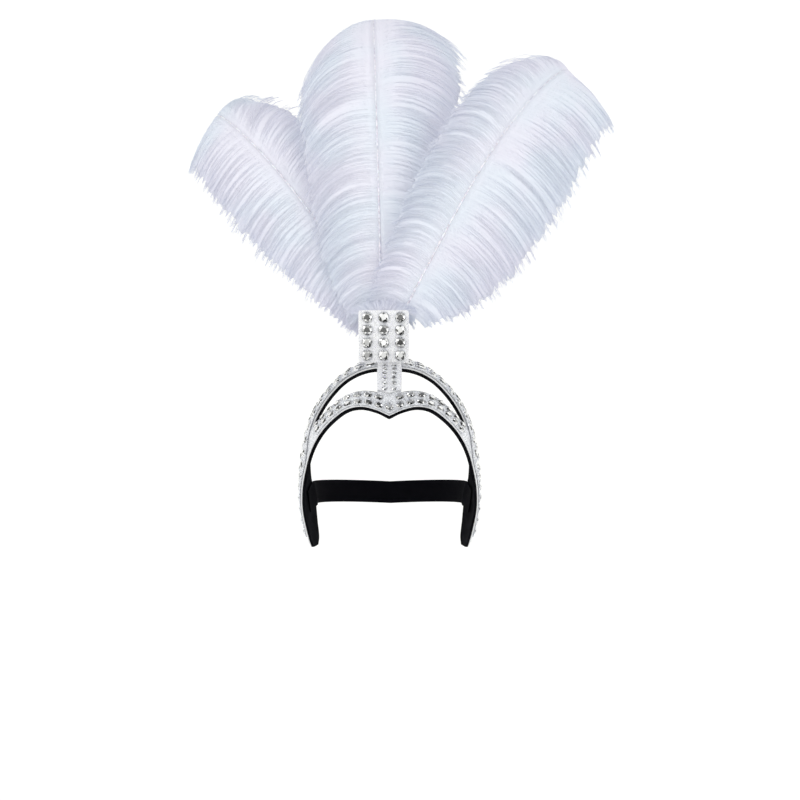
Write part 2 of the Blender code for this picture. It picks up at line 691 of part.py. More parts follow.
def rod(name, points, radius):
    """A round rod through a few points, kept out of the model as a guide for a union."""
    mesh = bmesh.new()
    rings = []
    for k, place in enumerate(points):
        before, after = points[max(k - 1, 0)], points[min(k + 1, len(points) - 1)]
        direction = (after - before) / np.linalg.norm(after - before)
        right = np.cross(direction, [0.0, 1.0, 0.0])
        right = right / np.linalg.norm(right)
        front = np.cross(right, direction)
        turns = [2 * math.pi * j / QUILL_SIDES for j in range(QUILL_SIDES)]
        rings.append([mesh.verts.new(place + radius * (math.cos(t) * right + math.sin(t) * front)) for t in turns])
    for lower, upper in zip(rings, rings[1:]):
        for j in range(QUILL_SIDES):
            after = (j + 1) % QUILL_SIDES
            mesh.faces.new((lower[j], lower[after], upper[after], upper[j]))
    mesh.faces.new(rings[0][::-1])
    mesh.faces.new(rings[-1])
    node = add_node(name, mesh, "white_plume")
    node.hide_render = True
    node.display_type = "WIRE"
    return node


def strap():
    """The elastic: sewn inside both arms and carried round the back in one plain curve."""
    inside = GAP + FELT + STRAP_GAP
    heights = (-0.5, 0.0, 0.5)
    row_length = np.linalg.norm(raw_point(STRAP_ROW + 0.5, 0.7) - raw_point(STRAP_ROW - 0.5, 0.7))

    def tab(share):
        rows = [STRAP_ROW - height * STRAP_HEIGHT / row_length for height in heights]
        return [frame_point(row, share, -inside) for row in rows]

    line = [tab(share) for share in STRAP_TABS]
    start = line[-1]
    rise = start[2] - start[0]
    rise = rise / np.linalg.norm(rise)
    for k in range(1, STRAP_STEPS + 1):
        turn = math.pi / 2 * k / STRAP_STEPS
        x = start[1][0] * math.cos(turn)
        y = start[1][1] + (STRAP_BACK - SEAT[1] - start[1][1]) * math.sin(turn)
        z = start[1][2] - STRAP_DROP * (1 - math.cos(turn))
        blend = min(1.0, STRAP_SETTLE * k / STRAP_STEPS)
        up = rise * (1 - blend) + np.array([0, 0, 1.0]) * blend
        up = up / np.linalg.norm(up)
        line.append([np.array([x, y, z]) + up * STRAP_HEIGHT * height for height in heights])
    flip = np.array([-1.0, 1.0, 1.0])
    outer = line + [[point * flip for point in column] for column in line[-2::-1]]
    inner = []
    for k, column in enumerate(outer):
        before, after = outer[max(k - 1, 0)], outer[min(k + 1, len(outer) - 1)]
        out = np.cross(after[1] - before[1], column[2] - column[0])
        out = out / np.linalg.norm(out) * STRAP_THICK
        inner.append([point - out for point in column])
    quad_solid("head_strap", inner, outer, lambda i, j: True, "black_elastic")


clear_scene()
frame_sheets()
frame_stones()
stem()
plate()
pocket()
for plume_name, plume_shape in PLUMES.items():
    plume_solid(plume_name, plume_shape)
strap()
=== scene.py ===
import bpy
import bmesh
import math
import numpy as np
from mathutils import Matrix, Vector


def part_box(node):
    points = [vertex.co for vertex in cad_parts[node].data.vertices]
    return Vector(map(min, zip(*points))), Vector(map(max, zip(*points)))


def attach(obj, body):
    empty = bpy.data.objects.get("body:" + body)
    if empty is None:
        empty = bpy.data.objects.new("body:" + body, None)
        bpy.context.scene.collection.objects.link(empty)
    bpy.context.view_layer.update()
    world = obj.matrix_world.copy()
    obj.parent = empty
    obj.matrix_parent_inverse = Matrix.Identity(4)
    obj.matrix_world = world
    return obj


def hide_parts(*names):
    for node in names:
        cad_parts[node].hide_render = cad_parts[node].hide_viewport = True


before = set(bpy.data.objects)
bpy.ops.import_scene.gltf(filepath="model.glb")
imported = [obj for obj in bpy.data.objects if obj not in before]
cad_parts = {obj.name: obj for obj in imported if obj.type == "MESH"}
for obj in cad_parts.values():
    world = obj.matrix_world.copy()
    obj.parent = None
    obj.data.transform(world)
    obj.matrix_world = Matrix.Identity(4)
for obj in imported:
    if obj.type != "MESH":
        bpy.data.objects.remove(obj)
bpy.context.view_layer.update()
scene = bpy.context.scene
scene.view_settings.view_transform = "Standard"

# the camera stands level, two metres in front of the plate
view = {"x": 0.0108, "y": -1.977, "z": -0.0351, "width": 0.84, "at": 0.0227, "sensor": 36.0}

cameraData = bpy.data.cameras.new("camera")
cameraData.sensor_width = view["sensor"]
cameraData.lens = view["sensor"] * (view["at"] - view["y"]) / view["width"]
cameraData.clip_end = 40
cameraObject = bpy.data.objects.new("camera", cameraData)
cameraObject.location = (view["x"], view["y"], view["z"])
cameraObject.rotation_euler = (math.radians(90), 0, 0)
scene.collection.objects.link(cameraObject)
scene.camera = cameraObject
print("camera set")


def unit(vector):
    return vector / np.linalg.norm(vector)


# how far along a line of points each of them lies
def runAlong(points):
    return np.concatenate([[0.0], np.cumsum(np.linalg.norm(np.diff(points, axis=0), axis=1))])


def clamped(value, low=0.0, high=1.0):
    return min(max(value, low), high)


# one socket of a node tree, ready for plain sums
class Wire:
    def __init__(self, recipe, socket):
        self.recipe = recipe
        self.socket = socket

    def other(self, name):
        return Wire(self.recipe, findSocket(self.socket.node.outputs, name))

    def work(self, operation, first, second=0.0):
        wires = [part for part in (first, second) if isinstance(part, Wire)]
        if all(wire.socket.type != "VECTOR" for wire in wires):
            return self.recipe.add("ShaderNodeMath", {"operation": operation}, {0: first, 1: second})
        if operation == "MULTIPLY":
            for vector, factor in ((first, second), (second, first)):
                plain = isinstance(factor, (int, float))
                if plain or isinstance(factor, Wire) and factor.socket.type != "VECTOR":
                    values = {0: vector, "Scale": factor}
                    return self.recipe.add("ShaderNodeVectorMath", {"operation": "SCALE"}, values)
        return self.recipe.add("ShaderNodeVectorMath", {"operation": operation}, {0: first, 1: second})

    def __add__(self, other):
        return self.work("ADD", self, other)

    def __radd__(self, other):
        return self.work("ADD", other, self)

    def __sub__(self, other):
        return self.work("SUBTRACT", self, other)

    def __rsub__(self, other):
        return self.work("SUBTRACT", other, self)

    def __mul__(self, other):
        return self.work("MULTIPLY", self, other)

    def __rmul__(self, other):
        return self.work("MULTIPLY", other, self)

    def __truediv__(self, other):
        return self.work("DIVIDE", self, other)

    def __pow__(self, other):
        return self.work("POWER", self, other)

    def sine(self):
        return self.work("SINE", self)

    def fract(self):
        return self.work("FRACT", self)

    def above(self, other):
        return self.work("GREATER_THAN", self, other)

    def ramp(self, low, high, fromValue=0.0, toValue=1.0):
        settings = {"interpolation_type": "SMOOTHSTEP"}
        values = {"Value": self, "From Min": low, "From Max": high, "To Min": fromValue, "To Max": toValue}
        return self.recipe.add("ShaderNodeMapRange", settings, values)


def findSocket(sockets, key):
    if isinstance(key, int):
        return sockets[key]
    return next(socket for socket in sockets if socket.name == key and socket.enabled)


# a node tree written as plain calls: a node's type, its settings, then its sockets
class Recipe:
    def __init__(self, tree):
        self.tree = tree
        tree.nodes.clear()

    def add(self, kind, settings=None, values=None, out=0):
        node = self.tree.nodes.new(kind)
        for key, value in (settings or {}).items():
            if key == "stops":
                self.setStops(node.color_ramp, value)
            else:
                setattr(node, key, value)
        for key, value in (values or {}).items():
            socket = findSocket(node.inputs, key)
            for part in value if isinstance(value, list) else [value]:
                if isinstance(part, Wire):
                    self.tree.links.new(part.socket, socket)
                else:
                    socket.default_value = part
        return Wire(self, findSocket(node.outputs, out)) if len(node.outputs) else None

    def setStops(self, band, stops):
        while len(band.elements) > 1:
            band.elements.remove(band.elements[-1])
        for k, (place, tone) in enumerate(stops):
            stop = band.elements[0] if k == 0 else band.elements.new(place)
            stop.position = place
            stop.color = (tone, tone, tone, 1)

    def blend(self, factor, first, second):
        values = {"Factor": factor, "A": first, "B": second}
        return self.add("ShaderNodeMix", {"data_type": "RGBA"}, values, "Result")

    def point(self, **values):
        return self.add("ShaderNodeCombineXYZ", {}, values)

    def vector(self, operation, first, *second):
        return self.add("ShaderNodeVectorMath", {"operation": operation}, dict(enumerate((first, *second))))

    def noise(self, place, scale, detail=2.0, roughness=0.5):
        values = {"Vector": place, "Scale": scale, "Detail": detail, "Roughness": roughness}
        return self.add("ShaderNodeTexNoise", {}, values)


def colour(red, green, blue):
    return (red, green, blue, 1.0)


# a material on a Principled shader: fixed numbers in steady, and what varies in the wires
class Finish(Recipe):
    def __init__(self, name, steady):
        self.material = bpy.data.materials.new(name)
        self.material.use_nodes = True
        super().__init__(self.material.node_tree)
        shader = self.add("ShaderNodeBsdfPrincipled", {}, steady)
        self.shader = shader.socket.node
        self.add("ShaderNodeOutputMaterial", {}, {"Surface": shader})
        self.place = self.add("ShaderNodeTexCoord", {}, {}, "Object")

    def channel(self, name):
        return self.add("ShaderNodeAttribute", {"attribute_name": name}, {}, "Fac")

    def feed(self, name, wire):
        self.tree.links.new(wire.socket, findSocket(self.shader.inputs, name))

    def bump(self, height, strength, distance):
        values = {"Height": height, "Strength": strength, "Distance": distance}
        self.feed("Normal", self.add("ShaderNodeBump", {}, values))


# pale floor that turns up into a wall all round, far outside every view
stage = {"floorRadius": 2.6, "corner": 1.3, "height": 4.5, "floorLevel": -0.434, "steps": 12, "sides": 96}


def makeBackdrop():
    profile = [(0.0, 0.0), (stage["floorRadius"], 0.0)]
    for k in range(1, stage["steps"] + 1):
        turn = math.pi / 2 * k / stage["steps"]
        across = stage["floorRadius"] + stage["corner"] * math.sin(turn)
        profile.append((across, stage["corner"] * (1 - math.cos(turn))))
    profile.append((stage["floorRadius"] + stage["corner"], stage["height"]))
    mesh = bmesh.new()
    rings = []
    for across, height in profile[1:]:
        turns = [2 * math.pi * k / stage["sides"] for k in range(stage["sides"])]
        level = stage["floorLevel"] + height
        rings.append([mesh.verts.new((across * math.cos(t), across * math.sin(t), level)) for t in turns])
    mesh.faces.new(rings[0])
    for lower, upper in zip(rings, rings[1:]):
        for k in range(stage["sides"]):
            after = (k + 1) % stage["sides"]
            mesh.faces.new((lower[k], lower[after], upper[after], upper[k]))
    backdrop = keepMesh("backdrop", mesh, smooth=True)
    finish = Finish("backdropPaper", {"Base Color": colour(0.8, 0.8, 0.79), "Roughness": 0.9,
                                      "Specular IOR Level": 0.1, "Emission Color": colour(1.0, 1.0, 0.985),
                                      "Emission Strength": 0.36})
    backdrop.data.materials.append(finish.material)


def keepMesh(name, mesh, smooth=False):
    bmesh.ops.recalc_face_normals(mesh, faces=mesh.faces[:])
    data = bpy.data.meshes.new(name)
    mesh.to_mesh(data)
    mesh.free()
    piece = bpy.data.objects.new(name, data)
    scene.collection.objects.link(piece)
    if smooth:
        data.polygons.foreach_set("use_smooth", [True] * len(data.polygons))
    return piece


# soft boxes, each aimed at the middle of the headdress
softBoxes = {
    "keyBox": {"place": (-1.5, -1.7, 1.5), "size": 1.3, "power": 9.0, "tone": (1.0, 0.995, 0.98)},
    "fillBox": {"place": (1.7, -1.3, 0.6), "size": 1.2, "power": 3.0, "tone": (0.93, 0.95, 1.0)},
    "topBox": {"place": (0.0, 0.3, 2.3), "size": 1.6, "power": 5.0, "tone": (0.97, 0.98, 1.0)},
}
lightAim = Vector((0.0, 0.02, 0.08))


def makeLights():
    for name, box in softBoxes.items():
        data = bpy.data.lights.new(name, "AREA")
        data.size = box["size"]
        data.energy = box["power"]
        data.color = box["tone"]
        lamp = bpy.data.objects.new(name, data)
        lamp.location = box["place"]
        lamp.rotation_euler = (lightAim - lamp.location).to_track_quat("-Z", "Y").to_euler()
        scene.collection.objects.link(lamp)
    world = bpy.data.worlds.new("studio")
    world.use_nodes = True
    sky = Recipe(world.node_tree)
    glow = sky.add("ShaderNodeBackground", {}, {"Color": colour(0.95, 0.97, 1.0), "Strength": 0.45})
    sky.add("ShaderNodeOutputWorld", {}, {"Surface": glow})
    scene.world = world


# black cards that only mirror in the stones, so that their facets turn dark and bright
flags = {"size": 0.9, "places": [(-0.75, -1.4, -0.5), (0.85, -1.5, 0.1), (0.1, -1.8, 0.95), (0.3, -0.55, -0.40)]}


def makeFlags():
    for k, place in enumerate(flags["places"]):
        mesh = bmesh.new()
        bmesh.ops.create_grid(mesh, x_segments=1, y_segments=1, size=flags["size"] / 2)
        card = keepMesh(f"flag{k}", mesh)
        card.location = place
        card.rotation_euler = (lightAim - card.location).to_track_quat("Z", "Y").to_euler()
        dark = Finish(f"flagCloth{k}", {"Base Color": colour(0.01, 0.01, 0.012), "Roughness": 1.0})
        card.data.materials.append(dark.material)
        card.visible_camera = card.visible_diffuse = card.visible_shadow = False
        card.visible_transmission = card.visible_volume_scatter = False


makeBackdrop()
makeLights()
makeFlags()
print("stage and lights set")


# the frame: one section for each row from the middle of the brow down to the tip of an arm,
# as shares of its half width, its reach from front to rear and its drop
crown = {
    "halfWidth": 0.092, "reach": 0.087, "drop": 0.186, "headShare": 0.65, "seatShare": 0.85,
    "board": 0.0016, "felt": 0.0025, "gap": 0.0003, "feltEdge": 0.0010, "boardInset": 0.0012,
    "windowHalf": 0.215, "windowEnd": 5.15, "windowRound": 1.6, "windowTip": 0.012, "windowSpread": 0.10,
    # frontX, frontY, frontZ, rearX, rearY, rearZ, bulge, window
    "sections": [
        (0.000, -1.000, -0.267, 0.000, -0.092, 0.050, 0.130, 0.450),
        (0.152, -0.948, -0.234, 0.163, -0.092, 0.044, 0.130, 0.443),
        (0.315, -0.874, -0.218, 0.337, -0.080, 0.010, 0.122, 0.425),
        (0.478, -0.782, -0.236, 0.505, -0.057, -0.045, 0.108, 0.398),
        (0.652, -0.667, -0.301, 0.660, -0.023, -0.124, 0.090, 0.363),
        (0.784, -0.552, -0.379, 0.785, 0.023, -0.212, 0.072, 0.323),
        (0.882, -0.437, -0.473, 0.872, 0.069, -0.318, 0.050, 0.345),
        (0.952, -0.322, -0.597, 0.932, 0.103, -0.457, 0.030, 0.400),
        (0.983, -0.276, -0.699, 0.932, 0.126, -0.602, 0.018, 0.430),
        (0.980, -0.253, -0.796, 0.885, 0.138, -0.726, 0.014, 0.450),
        (0.940, -0.230, -0.898, 0.858, 0.138, -0.860, 0.012, 0.460),
        (0.908, -0.195, -0.962, 0.838, 0.103, -0.946, 0.008, 0.460),
        (0.886, -0.115, -1.000, 0.842, 0.023, -0.995, 0.004, 0.460),
    ],
}

lastRow = len(crown["sections"]) - 1
sectionSize = np.array([crown["halfWidth"], crown["reach"], crown["drop"]] * 2 + [crown["halfWidth"], 1.0])
rightSide = np.array(crown["sections"]) * sectionSize
allSections = np.vstack([rightSide[:0:-1] * np.array([-1, 1, 1, -1, 1, 1, 1, 1]), rightSide])
allRows = np.arange(-lastRow, lastRow + 1)
sideRows = np.arange(lastRow + 1)
headCentre = np.array([0.0, 0.0, -crown["headShare"] * crown["drop"]])


# reads a table between its rows along a smooth curve
def throughRows(keys, rows, at):
    low = int(np.clip(np.searchsorted(keys, at) - 1, 0, len(keys) - 2))
    span = keys[low + 1] - keys[low]
    part = clamped((at - keys[low]) / span)

    def slope(row):
        before, after = max(row - 1, 0), min(row + 1, len(keys) - 1)
        return span * (rows[after] - rows[before]) / (keys[after] - keys[before])

    square, cube = part ** 2, part ** 3
    ends = (2 * cube - 3 * square + 1) * rows[low] + (3 * square - 2 * cube) * rows[low + 1]
    return ends + (cube - 2 * square + part) * slope(low) + (cube - square) * slope(low + 1)


# the front edge is read from one side only, which makes it pointed in the middle of the brow
def rawPoint(row, share):
    section = throughRows(allRows, allSections, row)
    section[2] = throughRows(sideRows, rightSide[:, 2], abs(row))
    front, rear, bulge = section[:3], section[3:6], section[6]
    chord = rear - front
    flat = front + chord * share
    out = flat - headCentre
    out = out - chord * (out @ chord) / (chord @ chord)
    return flat + unit(out) * bulge * 4 * share * (1 - share)


def rawNormal(row, share, step=0.01):
    row = clamped(row, step - lastRow, lastRow - step)
    share = clamped(share, step, 1 - step)
    along = rawPoint(row + step, share) - rawPoint(row - step, share)
    across = rawPoint(row, share + step) - rawPoint(row, share - step)
    return unit(np.cross(along, across))


# the frame's depth at a row, from its front edge to its rear edge
def depthAt(row):
    return np.linalg.norm(rawPoint(row, 1) - rawPoint(row, 0))


seat = rawPoint(0, crown["seatShare"]) - rawNormal(0, crown["seatShare"]) * (crown["gap"] + crown["felt"])


def onFrame(row, share, lift=0.0):
    return rawPoint(row, share) + rawNormal(row, share) * lift - seat


# front and rear edge of the crescents, and below them the same two lines spread apart
def windowEdges(row):
    row = abs(row)
    middle = throughRows(allRows, allSections, row)[7]
    crescent = crown["windowHalf"] * math.sqrt(max(0.0, 1 - (row / crown["windowEnd"]) ** crown["windowRound"]))
    below = clamped((row - crown["windowEnd"]) / 2)
    half = max(crescent, crown["windowTip"] + crown["windowSpread"] * below)
    return middle - half, middle + half


# the table row where the frame, at this share of its depth, is this far from the middle
def rowOfWidth(width, share, furthest=4.0, rounds=40):
    low, high = 0.0, furthest
    for _ in range(rounds):
        middle = (low + high) / 2
        low, high = (middle, high) if rawPoint(middle, share)[0] < width else (low, middle)
    return low


# closes two grids of points into a slab, mapped by its length and width or by a chart of its own;
# keep says which cells it has, and the last finish is that of the rim
def makeSlab(name, low, high, finishes, soften=0.0, keep=None, chart=None):
    across, along = len(low), len(low[0])
    mesh = bmesh.new()
    ribbon = mesh.loops.layers.uv.new("ribbon")
    if chart is None:
        top = np.array(high)
        run, rise = runAlong(top[:, along // 2]), runAlong(top[across // 2])
        chart = [[(far, wide) for wide in rise] for far in run]
    made = {}

    def vertex(level, i, j):
        if (level, i, j) not in made:
            made[level, i, j] = mesh.verts.new((high if level else low)[i][j])
        return made[level, i, j]

    def face(corners, rim=0):
        new = mesh.faces.new([vertex(*corner) for corner in corners])
        new.material_index = rim
        for loop, (_, i, j) in zip(new.loops, corners):
            loop[ribbon].uv = chart[i][j]

    def kept(i, j):
        return 0 <= i < across - 1 and 0 <= j < along - 1 and (keep is None or keep(i, j))

    for i in range(across - 1):
        for j in range(along - 1):
            if not kept(i, j):
                continue
            ring = ((i, j), (i + 1, j), (i + 1, j + 1), (i, j + 1))
            face([(1, *at) for at in ring])
            face([(0, *at) for at in ring[::-1]])
            for k, (di, dj) in enumerate(((0, -1), (1, 0), (0, 1), (-1, 0))):
                if not kept(i + di, j + dj):
                    a, b = ring[k], ring[(k + 1) % 4]
                    face([(0, *a), (0, *b), (1, *b), (1, *a)], len(finishes) - 1)
    piece = keepMesh(name, mesh, smooth=True)
    for finish in finishes:
        piece.data.materials.append(finish.material)
    if soften:
        addBevel(piece, soften)
    return piece


def addBevel(piece, width, segments=2, sharpest=35):
    bevel = piece.modifiers.new("soft edges", "BEVEL")
    bevel.width = width
    bevel.segments = segments
    bevel.limit_method = "ANGLE"
    bevel.angle_limit = math.radians(sharpest)
    bevel.harden_normals = True


# a merged copy of a node of the frame model, with its edges softened
def softCopy(name, node, width, finish, same=1e-6, flat=math.radians(1)):
    mesh = bmesh.new()
    mesh.from_mesh(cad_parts[node].data)
    bmesh.ops.remove_doubles(mesh, verts=mesh.verts[:], dist=same)
    bmesh.ops.dissolve_limit(mesh, angle_limit=flat, verts=mesh.verts[:], edges=mesh.edges[:])
    piece = keepMesh(name, mesh, smooth=True)
    piece.data.materials.append(finish.material)
    addBevel(piece, width)
    return place(piece, "silver_glitter", node)


# every piece rides on the one body and stands for its nodes
def place(piece, slot, *nodes):
    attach(piece, "root")
    if nodes:
        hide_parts(*nodes)
    return piece


# a geometry tree with named inputs; its first input is the mesh that it works on
def startTree(name, inputs):
    tree = bpy.data.node_groups.new(name, "GeometryNodeTree")
    recipe = Recipe(tree)
    tree.interface.new_socket("Geometry", in_out="INPUT", socket_type="NodeSocketGeometry")
    tree.interface.new_socket("Geometry", in_out="OUTPUT", socket_type="NodeSocketGeometry")
    for key, kind in inputs.items():
        tree.interface.new_socket(key, in_out="INPUT", socket_type="NodeSocket" + kind)
    return recipe, recipe.add("NodeGroupInput")


def endTree(recipe, geometry, finish):
    values = {"Geometry": realized(recipe, geometry), "Material": finish}
    recipe.add("NodeGroupOutput", {}, {0: recipe.add("GeometryNodeSetMaterial", {}, values)})
    return recipe.tree


def realized(recipe, geometry):
    return recipe.add("GeometryNodeRealizeInstances", {}, {0: geometry})


# runs a tree on a mesh and keeps what it makes as a plain mesh
def growPiece(name, tree, data, values):
    holder = bpy.data.objects.new(name + "Guide", data)
    scene.collection.objects.link(holder)
    modifier = holder.modifiers.new("grow", "NODES")
    modifier.node_group = tree
    for socket in tree.interface.items_tree:
        if socket.in_out == "INPUT" and socket.name in values:
            modifier[socket.identifier] = values[socket.name]
    graph = bpy.context.evaluated_depsgraph_get()
    grown = bpy.data.meshes.new_from_object(holder.evaluated_get(graph), depsgraph=graph)
    holder.modifiers.clear()
    bpy.data.objects.remove(holder)
    grown.name = name
    piece = bpy.data.objects.new(name, grown)
    scene.collection.objects.link(piece)
    return piece


def attribute(recipe, name, kind="FLOAT"):
    return recipe.add("GeometryNodeInputNamedAttribute", {"data_type": kind}, {"Name": name})


def store(recipe, geometry, name, value, kind="FLOAT", domain="POINT"):
    settings = {"data_type": kind, "domain": domain}
    values = {"Geometry": geometry, "Name": name, "Value": value}
    return recipe.add("GeometryNodeStoreNamedAttribute", settings, values)


def chance(recipe, low, high, seed, ident=None):
    values = {"Min": low, "Max": high, "Seed": seed}
    if ident is not None:
        values["ID"] = ident
    return recipe.add("FunctionNodeRandomValue", {"data_type": "FLOAT"}, values, "Value")


# board covered in glitter flakes: each flake has its own tone and tilts its own way
glitter = {"flake": 1150.0, "tilt": 0.55, "cloud": 60.0, "cloudShare": 0.25, "smoothest": 0.14, "rougher": 0.35}


def makeGlitter(name, dark, light):
    finish = Finish(name, {"Metallic": 0.25, "Roughness": 0.3, "Specular IOR Level": 0.5, "Coat Weight": 0.15})
    cells = {"Vector": finish.place, "Scale": glitter["flake"]}
    flakes = finish.add("ShaderNodeTexVoronoi", {"feature": "F1"}, cells, "Color")
    parts = finish.add("ShaderNodeSeparateColor", {}, {"Color": flakes}, "Red")
    tone = parts.ramp(0.0, 0.75)
    cloud = finish.noise(finish.place, glitter["cloud"], 3.0).ramp(0.35, 0.65)
    patchy = tone * (1 - glitter["cloudShare"]) + cloud * glitter["cloudShare"]
    finish.feed("Base Color", finish.blend(patchy, dark, light))
    finish.feed("Roughness", parts.other("Green") * glitter["rougher"] + glitter["smoothest"])
    lean = finish.vector("SUBTRACT", flakes, (0.5, 0.5, 0.5))
    facing = finish.add("ShaderNodeNewGeometry", {}, {}, "Normal")
    tilted = facing + lean * glitter["tilt"]
    finish.feed("Normal", finish.vector("NORMALIZE", tilted))
    return finish


silverGlitter = makeGlitter("silverGlitter", colour(0.42, 0.43, 0.47), colour(0.93, 0.94, 0.97))
# a lighter copy of the silver glitter for the plate and the stem: painted light that brightens them
plateGlitter = makeGlitter("plateGlitter", colour(0.78, 0.78, 0.85), colour(1.0, 1.0, 1.0))


# each facet mirrors with its own tone, from near black to bright, plus painted light and shade: facets that face one
# fixed side of the stone are painted brighter, those facing away darker
crystal = {"ownShare": 0.75, "paintedLightShare": 0.6, "darker": 0.2,
           "stops": [(0.0, 0.01), (0.18, 0.05), (0.30, 0.30), (0.50, 0.62), (0.75, 0.95), (1.0, 1.0)]}


def makeCrystal():
    finish = Finish("cutCrystal", {"Metallic": 1.0, "Roughness": 0.04, "Coat Weight": 1.0, "Coat Roughness": 0.02})
    facet, own, lit = (finish.channel(key) for key in ("facet", "own", "lit"))
    mixed = (facet + own).fract() * crystal["ownShare"] + lit * crystal["paintedLightShare"] - crystal["darker"]
    finish.feed("Base Color", finish.add("ShaderNodeValToRGB", {"stops": crystal["stops"]}, {"Fac": mixed}, "Color"))
    return finish


# scales of the grain, as cells in a metre
grain = {"metal": 500.0, "felt": 900.0, "blotch": 90.0, "paper": 700.0}


def makeMetal():
    finish = Finish("settingSilver", {"Metallic": 1.0, "Base Color": colour(0.86, 0.87, 0.9)})
    finish.feed("Roughness", finish.noise(finish.place, grain["metal"]).ramp(0.3, 0.7, 0.16, 0.34))
    return finish


def makeFelt():
    finish = Finish("blackFelt", {"Specular IOR Level": 0.02, "Sheen Weight": 0.02, "Sheen Roughness": 0.5,
                                  "Sheen Tint": colour(0.6, 0.62, 0.68)})
    fuzz = finish.noise(finish.place, grain["felt"], 6.0, 0.7)
    blotch = finish.noise(finish.place, grain["blotch"], 3.0).ramp(0.3, 0.7)
    finish.feed("Base Color", finish.blend(blotch, colour(0.002, 0.002, 0.003), colour(0.007, 0.007, 0.009)))
    finish.feed("Roughness", fuzz.ramp(0.2, 0.8, 0.85, 1.0))
    finish.bump(fuzz, 0.6, 0.0006)
    return finish


# ribs across the elastic and the knit along it, each as the distance from one to the next
weave = {"rib": 0.0012, "knit": 0.0011, "depth": 0.0004}


def makeElastic():
    finish = Finish("blackElastic", {"Specular IOR Level": 0.02})
    ribbon = finish.add("ShaderNodeUVMap", {"uv_map": "ribbon"}, {}, "UV")
    along = finish.add("ShaderNodeSeparateXYZ", {}, {"Vector": ribbon}, "X")
    ribs = (along.other("Y") * (2 * math.pi / weave["rib"])).sine() * 0.5 + 0.5
    knit = (along * (2 * math.pi / weave["knit"])).sine() * 0.5 + 0.5
    finish.feed("Base Color", finish.blend(ribs, colour(0.001, 0.001, 0.002), colour(0.005, 0.005, 0.007)))
    finish.feed("Roughness", knit * 0.2 + 0.6)
    finish.bump(ribs * 0.7 + knit * 0.3, 0.6, weave["depth"])
    return finish


def makeWhiteEdge():
    finish = Finish("whiteEdge", {"Roughness": 0.6})
    paper = finish.noise(finish.place, grain["paper"], 4.0)
    finish.feed("Base Color", finish.blend(paper, colour(0.82, 0.82, 0.84), colour(0.95, 0.95, 0.96)))
    finish.bump(paper, 0.3, 0.0003)
    return finish


cutCrystal = makeCrystal()
settingSilver = makeMetal()
blackFelt = makeFelt()
blackElastic = makeElastic()
whiteEdge = makeWhiteEdge()

stem = {"width": 0.025, "gap": 0.0003, "aboveBand": 0.02, "board": 0.0016, "top": 0.72, "liesTo": 5 / 6,
        "bend": 0.3, "rows": 6, "stone": 0.0058, "cupShare": 1.05, "pitch": 0.0102, "start": 0.42,
        "steps": 24, "sides": 8, "seed": 21}
stemRow = rowOfWidth(stem["width"] / 2, stem["top"])


# the board and its felt: one curved sheet each, with a crescent cut out on both sides of the stem
sheets = {"stemRows": 6, "rowStep": 0.1, "armRows": 60, "front": 8, "window": 4, "rear": 8, "join": 0.01,
          "boardEdge": 0.0003, "feltEdge": 0.0007}


def makeSheets():
    end, step = crown["windowEnd"], sheets["rowStep"]
    half = [stemRow * k / sheets["stemRows"] for k in range(sheets["stemRows"] + 1)]
    half += list(np.arange(stemRow + step, end - step / 2, step)) + list(np.linspace(end, lastRow, sheets["armRows"]))
    rows = [-row for row in half[:0:-1]] + half

    def shares(row, grow):
        front, rear = windowEdges(row)
        edge = grow / depthAt(row)
        inset = edge if stemRow - sheets["join"] < abs(row) < end - sheets["join"] else 0.0
        front, rear = front + inset, rear - inset
        return np.concatenate([
            np.linspace(-edge, front, sheets["front"] + 1)[:-1],
            np.linspace(front, rear, sheets["window"] + 1)[:-1],
            np.linspace(rear, 1 + edge, sheets["rear"] + 1),
        ])

    def keep(i, j):
        solid = not stemRow < abs(rows[i] + rows[i + 1]) / 2 < end
        return solid or not 0 <= j - sheets["front"] < sheets["window"]

    def level(lift, grow):
        return [[onFrame(row, share, lift) for share in shares(row, grow)] for row in rows]

    inset, grow, under = -crown["boardInset"], crown["feltEdge"], -crown["gap"] - crown["felt"]
    board = makeSlab("crownBoard", level(0.0, inset), level(crown["board"], inset), [silverGlitter, whiteEdge],
                     sheets["boardEdge"], keep)
    place(board, "silver_glitter", "crown_shell")
    felt = makeSlab("crownFelt", level(under, grow), level(-crown["gap"], grow), [blackFelt], sheets["feltEdge"], keep)
    place(felt, "black_felt", "felt_lining")


makeSheets()
print("frame sheets made")


# a flat-backed cut stone of radius 1: sixteen-sided girdle, kites, stars and an eight-sided table
gem = {"sides": 8, "foot": 0.95, "girdle": 0.13, "shoulder": 0.80, "shoulderRise": 0.31, "table": 0.52, "rise": 0.44,
       "paintedLightFrom": (-0.45, 0.9, 0.15), "seed": 5}


